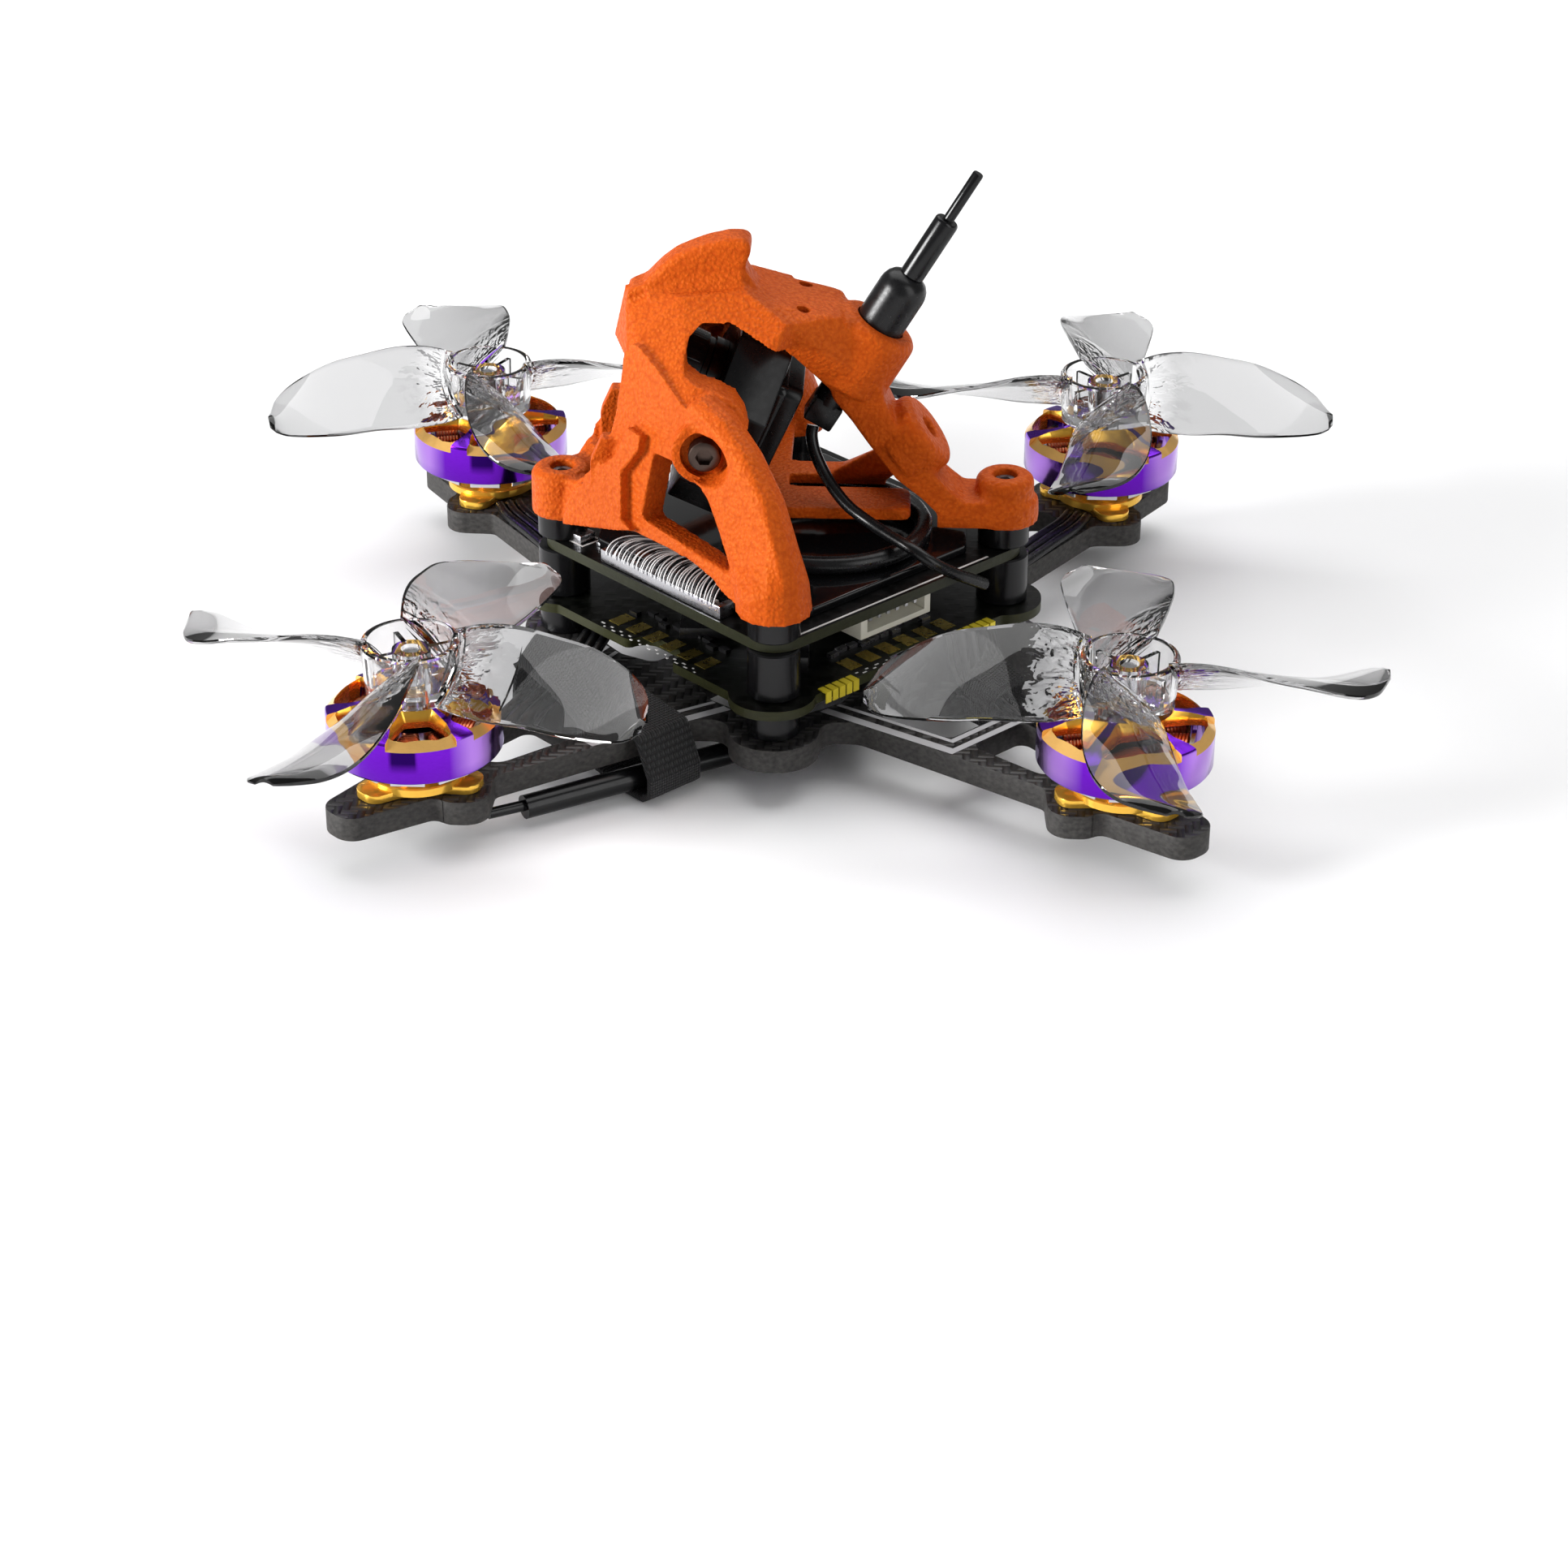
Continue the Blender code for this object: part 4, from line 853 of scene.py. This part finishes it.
def motors():
    bell, coil, base = bell_mesh(), coil_mesh(), base_mesh()
    blades = {1: propeller_mesh(1), -1: propeller_mesh(-1)}
    for corner, sx, sy, spin, phase in MOTORS:
        place = at(MOTOR * sx, MOTOR * sy)
        outward = spun(arm_angle(sx, sy))
        rotor = f"rotor_{corner}"
        made = shown(f"motor_mount_{corner}", base.copy(), place @ outward)
        piece(made, "gold_anodised", f"motor_base_{corner}")
        made = shown(f"windings_{corner}", coil.copy(), place)
        piece(made, "copper_winding", f"stator_{corner}")
        made = shown(f"motor_bell_{corner}", bell.copy(), place)
        piece(made, "purple_anodised", f"bell_{corner}", body=rotor)
        made = shown(f"clear_propeller_{corner}", blades[spin].copy(), place @ spun(phase))
        piece(made, "smoked_clear", f"propeller_{corner}", "clear", rotor)
        shaft = [(0.0, 13.1), (0.6, 13.1), (0.72, 12.9), (0.72, 2.85), (0.0, 2.85)]
        made = turned(f"motor_shaft_{corner}", shaft, 32, place)
        collar = [(1.45, 9.65), (1.5, 9.6), (1.5, 9.35), (0.76, 9.35), (0.76, 9.65)]
        gold = painted(turned("collar", collar, 32, place, ring=True), "gold")
        made = merged(f"motor_shaft_{corner}", [painted(made, "steel"), gold])
        piece(made, "shaft_steel", f"shaft_{corner}", body=rotor)


# The stack

def stack():
    levels = (
        ("lower", PLATE + 0.05, CONTROLLER[0] - 0.05),
        ("middle", CONTROLLER[1] + 0.05, VIDEO[0] - 0.05),
        ("upper", VIDEO[1] + 0.05, FOOT - 0.05),
    )
    for where, x, y in POSTS:
        place = at(x, y)
        for level, low, high in levels:
            profile = [(1.15, high), (1.98, high), (2.1, high - 0.12), (2.1, low + 0.12), (1.98, low), (1.15, low)]
            made = turned(f"post_{level}_{where}", profile, 48, place, ring=True)
            piece(made, "spacer_black", f"spacer_{level}_{where}", "spacer")
        screw = [(0.0, 15.75), (0.35, 15.75), (0.4, 16.0), (0.8, 16.0), (0.9, 15.9), (0.9, -0.05), (1.55, -0.05),
                 (1.7, -0.2), (1.7, -0.85), (1.55, -1.0), (0.9, -1.0), (0.85, -0.95), (0.85, -0.45), (0.0, -0.45)]
        made = turned(f"long_screw_{where}", screw, 36, place)
        piece(made, "screw_steel", f"stack_screw_{where}", "dark_steel")


def post_holes(radius):
    return [circle(x, y, radius) for _, x, y in POSTS]


def small_blocks(rows, low, place, look, edge=0.0):
    """Blocks (x, y, wide, deep, tall) standing on one height, or hanging from it."""
    found = []
    for x, y, wide, deep, tall in rows:
        start = (x - wide / 2, y - deep / 2, min(low, low + tall))
        end = (x + wide / 2, y + deep / 2, max(low, low + tall))
        found.append(painted(block("small", start, end, place, edge), look))
    return found


def controller():
    half = [(POST + 3.3, 3.3, 3.2), (18.3, 3.3, 0.6), (12.1, 9.5, 0.6), (10.7, 8.1, 1.6)]
    quarter = [(POST + 3.3, -3.3, 3.2), *half, (7.1, 11.7, 1.6), (8.5, 13.1, 0.6), (3.6, 18.0, 0.6)]
    made = [painted(plate("controller", [four_ways(quarter), *post_holes(1.1)], *CONTROLLER), "controller")]
    top = CONTROLLER[1] - 0.02
    chips = ((-4, -4, 7, 7, 1.2), (6.5, -5.5, 5, 5, 1.0), (-7.5, 7.0, 4, 4, 0.9), (5, 5.5, 4.5, 4.5, 1.1),
             (-10.5, -2, 3, 5, 0.9), (13.4, 0.4, 2.4, 4.4, 1.4))
    below = [(0, 0, 6, 6, -0.9)] + [(x, y, 3.4, 3.4, -1.1) for x, y in ((8, 5), (-8, 5), (8, -5), (-8, -5))]
    made += small_blocks(chips, top, Matrix(), "chip", 0.08)
    made += small_blocks(below, CONTROLLER[0] + 0.02, Matrix(), "chip", 0.08)
    for turn in range(4):
        along = spun(90 * turn + 45)
        row = [(13.2, -5.0 + 2.1 * k, 1.8, 1.25, 0.05) for k in range(6)]
        made += small_blocks(row, top, along, "pad")
        marks = [(14.7 + 0.35 * (k % 2), -5.6 + 0.55 * k, 0.14, DRAWS.choice((0.2, 0.3, 0.4)), 0.035)
                 for k in range(22)]
        made += small_blocks(marks, top, along, "silk")
        parts = [(11.2 + DRAWS.uniform(-0.6, 0.6), -5 + 1.1 * k, 0.5, 0.9, 0.35) for k in range(10)]
        made += small_blocks(parts, top, along, "chip" if turn % 2 else "tin")
    for x, y in ((16.9, 5.45), (6.2, 16.3)):
        place = at(x, y) @ spun(-45)
        row = [(-1.5 + 0.75 * k, -0.62, 0.58, 0.9, 0.12) for k in range(5)]
        made += small_blocks(row, top, place, "yellow_pad")
        face = [(-1.5 + 0.75 * k, -0.12, 0.58, 0.1, -0.95) for k in range(5)]
        made += small_blocks(face, CONTROLLER[1] + 0.1, place, "yellow_pad")
    piece(merged("controller_stack_board", made), "board_olive", "controller_board")


def video():
    low, high = VIDEO
    outline = rounded([(20.5, 0.0, 2.6), (0.0, 20.5, 2.6), (-20.5, 0.0, 2.6), (0.0, -20.5, 2.6)])
    made = [painted(plate("video", [outline, *post_holes(1.1)], low, high), "video")]
    made.append(painted(block("shield", (-6.5, -6.5, low - 1.6), (6.5, 6.5, low), spun(45), 0.25), "tin"))
    for turn in range(4):
        row = [(12.0, -6.0 + 1.7 * k, 0.7, 1.0, -0.5) for k in range(8)]
        made += small_blocks(row, low + 0.02, spun(90 * turn + 45), "chip")
    parts = [(12.6, -10.6, 1.6, 1.5, 0.7), (12.2, -8.6, 0.8, 0.5, 0.4)]
    made += small_blocks(parts, high - 0.02, spun(-45), "tin", 0.08)
    frame_line = [[(13.6, -11.9), (13.6, -9.4), (11.5, -9.4), (11.5, -11.9)],
                  [(13.4, -11.7), (13.4, -9.6), (11.7, -9.6), (11.7, -11.7)]]
    long_line = [[(14.0, -12.2), (14.2, -12.2), (14.2, 9.6), (14.0, 9.6)]]
    for outlines, degrees in ((frame_line, -45), (long_line, 45)):
        made.append(painted(plate("print", outlines, high + 0.002, high + 0.012, spun(degrees)), "silk"))
    piece(merged("video_stack_board", made), "board_black", "video_board")
    outline = four_ways([(15.0, -2.8, 0.8), (15.0, 2.8, 0.8)])
    spreader = plate("heat_plate", [outline], high + 0.05, SPREADER, edge=0.15)
    piece(spreader, "spreader_black", "heat_spreader", "spreader")


def connectors():
    place = spun(-45)
    made = block("wire_connector", (12.75, -6.3, VIDEO[1] + 0.05), (14.25, 8.1, 11.65), place, 0.06)
    slot = block("slot", (12.5, -5.7, 11.0), (13.9, 7.5, 12.0), place)
    made = painted(change(made, "DIFFERENCE", [slot]), "tin")
    count = 20
    contacts = [(13.6, -5.5 + 12.8 * k / (count - 1), 0.9, 0.3, 0.42) for k in range(count)]
    made = merged("wire_connector", [made, *small_blocks(contacts, 11.0, place, "silk")])
    piece(made, "connector_metal", "camera_connector")
    place = spun(45)
    made = block("power_socket", (10.2, -3.7, 7.0), (13.15, 4.1, 9.5), place, 0.1)
    slot = block("slot", (10.9, -3.0, 7.5), (13.6, 3.4, 9.0), place, 0.08)
    made = painted(change(made, "DIFFERENCE", [slot]), "nylon")
    pins = [(11.9, -2.2 + 1.0 * k, 1.6, 0.3, 0.3) for k in range(6)]
    made = merged("power_socket", [made, *small_blocks(pins, 8.1, place, "tin")])
    piece(made, "cream_nylon", "power_connector")


def fine_wires():
    """Hair-fine wires that leave the connector, rise and sweep under the canopy."""
    turn = Matrix.Rotation(-math.pi / 4, 3, "Z")
    bunches = {"white_wire": [], "dark_wire": []}
    count = 60
    for k in range(count):
        share = k / (count - 1)
        q = -5.6 + 12.9 * share
        lift = DRAWS.uniform(-0.2, 0.12)
        lean = 2.2 - 4.4 * share + DRAWS.uniform(-0.5, 0.5)
        route = [
            (14.15, q, 11.2), (14.2, q + 0.02, 11.75 + lift), (13.6, q + 0.1 * lean, 12.45 + lift),
            (12.4, q + 0.35 * lean, 12.72 + lift), (11.0, q + 0.7 * lean, 12.4 + lift),
            (9.8, q + lean, 11.95 + lift / 2),
        ]
        look = "dark_wire" if k % 5 in (1, 3) else "white_wire"
        bunches[look].append([turn @ point for point in smooth_line(route, 5)])
    made = [painted(cord("wires", lines, 0.06, 1), look) for look, lines in bunches.items()]
    piece(merged("hair_wires", made), "fine_wires", "camera_ribbon")


# The canopy

def relax(obj, rounds):
    """Taubin smoothing: rounds edges off without shrinking the walls."""
    for _ in range(rounds):
        modified(obj, "SMOOTH", factor=0.6, iterations=1)
        modified(obj, "SMOOTH", factor=-0.56, iterations=1)


def melts(x, y, z):
    """Whether a point of the canopy is on its fin, its rear roof and strap, its front foot or its side legs."""
    fin, feet, roof, front, legs = 32.9, 13.6, 0.8, -15.9, 12.8
    return z > fin or (z > feet and (y > roof or y < front or abs(x) > legs))


def canopy_holes():
    """The canopy's bores and small holes, and the room that the lens needs as it tilts."""
    holes = [rod("pad hole", (0, 13.5, 21.7), (0, 7.0, 16.8), 0.95)]
    for y in (-POST, POST):
        holes.append(rod("end bore", (0, y, 11), (0, y, 18), 1.0))
    for side in (1, -1):
        holes.append(rod("foot bore", (side * POST, 0, 11), (side * POST, 0, 16.3), 1.0))
        holes.append(rod("pivot bore", (side * 6, *PIVOT[1:]), (side * 16, *PIVOT[1:]), 0.8))
        holes.append(rod("pivot recess", (side * 10.9, *PIVOT[1:]), (side * 16, *PIVOT[1:]), 1.95))
        holes.append(rod("roof hole", (side * 2.66, 0.2, 28.5), (side * 2.66, 2.4, 33.0), 0.55))
    bore = [(0.0, 3.0), (2.1, 3.0), (2.1, -1.2), (1.45, -1.2), (1.45, -12.0), (0.0, -12.0)]
    holes.append(turned("aerial bore", bore, 48, TO_AERIAL))
    for lean in range(-TILT_LIMIT, TILT_LIMIT + 1, 5):
        tilted = TO_CAMERA.to_3x3() @ Matrix.Rotation(math.radians(lean), 3, "X")
        start, end = (Vector(PIVOT) + tilted @ Vector((0, 0, reach)) for reach in (0.3, 6.8))
        holes.append(rod("lens sweep", start, end, 4.72, 64))
    return holes


def canopy():
    """The printed canopy: its CAD solid and a crest on the fin, remeshed finely, with soft places melted."""
    bm = bmesh.new()
    bm.from_mesh(NODES["canopy"].data)
    bmesh.ops.remove_doubles(bm, verts=bm.verts, dist=0.001 * MM)
    mesh = bpy.data.meshes.new("canopy_shell")
    bm.to_mesh(mesh)
    bm.free()
    ridge = [(-12.2, 32.4), (-10.7, 33.25), (-9.6, 34.4), (-8.5, 35.25), (-7.2, 35.85), (-5.9, 36.35),
             (-4.5, 36.65), (-3.0, 36.7), (-1.4, 36.7)]
    crest = [(-11.8, 32.0), *ridge[1:7], (-3.3, 36.6), (-3.0, 33.0)]
    crest = plate("crest", [crest], -1.45, 1.45, SIDE_VIEW)
    made = change(shown("canopy_shell", mesh), "UNION", [crest])
    tip = rounded([(-4.2, 36.75), (-2.55, 36.75, 0.9), (-2.55, 35.7), (-2.0, 35.7), (-2.0, 37.5), (-4.2, 37.5)])
    slices = [block("fin tip", (-3.0, -6.0, 36.75), (3.0, 0.0, 38.5)),
              plate("fin end", [tip], -3.0, 3.0, SIDE_VIEW)]
    for side in (1, -1):
        corners = ((side * 1.0, 0.15), (side * 1.9, 0.4), (side * 1.9, -0.85))
        slices.append(loft("fin flank", [[(x, y, z + rise) for x, rise in corners] for y, z in ridge]))
    parts = [change(made, "DIFFERENCE", slices)]
    skirt = [(1.45, -11.0, 32.6), (1.45, -3.4, 34.0), (2.5, -10.6, 31.9), (2.6, -2.6, 32.4),
             (0.0, -11.0, 31.9), (0.0, -2.4, 32.0), (0.0, -3.4, 34.0), (0.0, -11.0, 32.6)]
    plug = [TO_AERIAL @ Vector((0, 0, depth * MM)) / MM for depth in (-5.5, -0.03)]
    for side in (1, -1):
        parts.append(hull("fin foot", [(side * x, y, z) for x, y, z in skirt]))
        parts.append(rod("aerial plug", *plug, 2.25))
        parts.append(rod("pivot boss", (side * 8.9, *PIVOT[1:]), (side * 11.6, *PIVOT[1:]), 2.65))
    made = merged("canopy_shell", parts)
    modified(made, "REMESH", mode="VOXEL", voxel_size=0.14 * MM)
    mesh = final_mesh(made)
    made = shown("canopy_shell", mesh, smooth=180.0)
    soft = made.vertex_groups.new(name="soft")
    soft.add([vert.index for vert in mesh.vertices if melts(*(vert.co / MM))], 1.0, "REPLACE")
    modified(made, "SMOOTH", factor=0.5, iterations=30, vertex_group="soft")
    relax(made, 9)
    made = shown("canopy_shell", final_mesh(made), smooth=180.0)
    made = change(made, "DIFFERENCE", canopy_holes())
    piece(made, "orange_print", "canopy", "orange")


# The camera

def camera():
    shell = [(-7.4, -4.6), (-4.4, -7.6), (4.4, -7.6), (7.4, -4.6), (7.4, 2.4), (3.6, 7.2), (-3.6, 7.2), (-7.4, 2.4)]
    shell = rounded([(x, y, 0.5) for x, y in shell])
    body = painted(plate("camera", [shell], -4.0, 0.5, TO_CAMERA, 0.25), "camera")
    back = [(-4.5, -5.0, 1.0), (4.5, -5.0, 1.0), (4.5, 5.0, 1.0), (-4.5, 5.0, 1.0)]
    cap = painted(plate("back", [rounded(back)], -6.0, -3.9, TO_CAMERA, 0.3), "camera")
    step = [(-5.4, -5.3, 0.8), (5.4, -5.3, 0.8), (5.4, 5.2, 0.8), (-5.4, 5.2, 0.8)]
    rim = painted(plate("rim", [rounded(step)], -4.6, -3.8, TO_CAMERA, 0.2), "barrel")
    piece(merged("camera_housing", [body, cap, rim]), "camera_black", "camera_body", body="camera")
    barrel = [
        (0.0, 4.9), (3.4, 4.9), (3.4, 5.6), (3.95, 5.6), (3.95, 6.35), (4.05, 6.4), (4.4, 6.4), (4.6, 6.2),
        (4.6, 5.2), (4.45, 5.1), (4.45, 4.7), (4.6, 4.6), (4.6, 2.2), (4.4, 2.1), (4.4, 1.7), (4.6, 1.6),
        (4.6, 0.55), (0.0, 0.55),
    ]
    ring = painted(turned("lens_housing", barrel, 72, TO_CAMERA), "barrel")
    ribs = []
    for k in range(36):
        place = TO_CAMERA @ spun(10 * k)
        ribs.append(painted(block("knurl", (4.4, -0.16, 2.4), (4.6, 0.16, 4.4), place, 0.05), "barrel"))
    piece(merged("lens_housing", [ring, *ribs]), "barrel_black", "lens_barrel", body="camera")
    glass = [(0.0, 6.3), (0.9, 6.27), (1.8, 6.18), (2.7, 6.04), (3.5, 5.9), (3.85, 5.83), (3.85, 5.65), (0.0, 5.65)]
    piece(turned("front_lens", glass, 64, TO_CAMERA), "lens_glass", "lens_glass", "glass", "camera")
    for side, name in ((1, "left"), (-1, "right")):
        place = Matrix.Translation(Vector(PIVOT) * MM) @ Matrix.Rotation(side * math.pi / 2, 4, "Y")
        profile = [(0.0, 11.6), (SOCKET, 11.6), (SOCKET, 12.2), (1.12, 12.2), (1.22, 12.14), (1.28, 12.0),
                   (1.3, 11.0), (0.72, 11.0), (0.72, 5.6), (0.0, 5.6)]
        made = socket_head(turned(f"tilt_screw_{name}", profile, 48, place))
        piece(made, "screw_brown", f"camera_screw_{name}", "brown_steel", "camera")


def socket_head(made):
    """Presses a round socket's wall into six flats."""
    for vert in made.data.vertices:
        reach = math.hypot(vert.co.x, vert.co.y) / MM
        if abs(reach - SOCKET) < 0.01:
            angle = math.atan2(vert.co.y, vert.co.x)
            flat = 0.62 / math.cos(math.remainder(angle, math.pi / 3))
            vert.co.x, vert.co.y = flat * MM * math.cos(angle), flat * MM * math.sin(angle)
    return made


# Antennas, leads and cables

def antennas():
    boot = [
        (0.0, 4.7), (0.95, 4.7), (1.1, 4.62), (1.5, 4.4), (1.78, 4.05), (1.95, 3.6), (2.0, 3.2), (2.0, -1.0),
        (1.9, -1.1), (1.35, -1.1), (1.35, -8.0), (0.0, -8.0),
    ]
    sleeve = turned("boot", boot, 48, TO_AERIAL)
    plug = block("plug", (-1.25, -1.25, -9.9), (1.25, 1.25, -7.7), TO_AERIAL, 0.2)
    made = merged("antenna_sleeve", [sleeve, plug])
    piece(made, "boot_rubber", "antenna_boot", "rubber")
    mast = [(0.0, 14.6), (0.4, 14.6), (0.45, 14.5), (0.45, 10.1), (0.85, 10.1), (0.95, 10.02), (1.0, 9.85),
            (1.0, 4.75), (0.0, 4.75)]
    piece(turned("antenna_rod", mast, 40, TO_AERIAL), "antenna_black", "antenna_mast", "spacer")
    route = [
        (0.1, 2.4, 20.45), (0.4, 2.3, 19.6), (1.0, 2.65, 18.3), (2.0, 3.7, 16.5), (3.2, 5.2, 14.95),
        (4.6, 7.0, 14.1), (6.6, 8.8, 13.8), (8.4, 10.6, 13.5), (8.9, 12.2, 12.6), (8.2, 13.9, 11.4),
        (7.0, 15.3, 10.3), (5.8, 16.5, 9.3),
    ]
    piece(cord("video_coax", [smooth_line(route, 6)], 0.5), "cable_black", "antenna_coax", "cable")
    tube = [(25.0, -19.2, -1.5), (14.9, -3.0, -1.5)]
    thin = [(26.6, -21.8, -1.25), (25.06, -19.3, -1.35), (24.5, -18.4, -1.5)]
    lead = [(15.4, -3.8, -1.5), (14.85, -2.92, -1.5), (13.6, -2.3, -1.1), (12.7, -1.9, 0.2), (12.4, -1.6, 1.6),
            (12.4, -1.5, 2.9)]
    lead = smooth_line(lead, 6)
    parts = [cord("tube", [tube], 0.97, 6), cord("thin", [thin], 0.45), cord("lead", [lead], 0.48)]
    piece(merged("receiver_rod", parts), "receiver_black", "receiver_antenna", "spacer")


def motor_leads():
    for corner, sx, sy, _, _ in MOTORS:
        route = [
            (5.6, 15.0, 3.9), (7.0, 15.6, 3.4), (8.3, 16.2, 2.75), (9.4, 17.0, 2.52), (13.4, 19.9, 2.52),
            (17.25, 22.3, 2.52), (20.2, 24.2, 2.52), (22.3, 25.1, 2.52),
        ]
        points = smooth_line([(x * sx, y * sy, z) for x, y, z in route], 6)
        lines = []
        for offset in (-0.85, 0.0, 0.85):
            line = []
            for i, point in enumerate(points):
                along = points[min(i + 1, len(points) - 1)] - points[max(i - 1, 0)]
                line.append(point + along.cross(Vector((0, 0, 1))).normalized() * offset)
            lines.append(line)
        made = cord(f"three_leads_{corner}", lines, 0.42)
        piece(made, "lead_black", f"motor_leads_{corner}", "lead")


def camera_coil():
    """The cable's spare length: its turns lie on the heat spreader, then run in under the camera."""
    route = []
    for k in range(34):
        angle = math.radians(100 + 15 * k)
        reach = 8.0 - 1.9 * min(max(k - 24, 0), 4) / 4
        route.append((1.0 + reach * math.cos(angle), 3.5 + reach * math.sin(angle), 12.2))
    line = smooth_line(route, 3)
    made = cord("camera_lead", [line], 0.75, 4)
    piece(made, "cable_black", "camera_cable", "cable")


photo_camera()
camera_coil()
studio()
carbon_plate()
strap("front_wrap", "arm_wrap_front", "wrap_front")
strap("rear_wrap", "arm_wrap_rear", "wrap_rear")
motors()
stack()
controller()
video()
connectors()
fine_wires()
canopy()
camera()
antennas()
motor_leads()
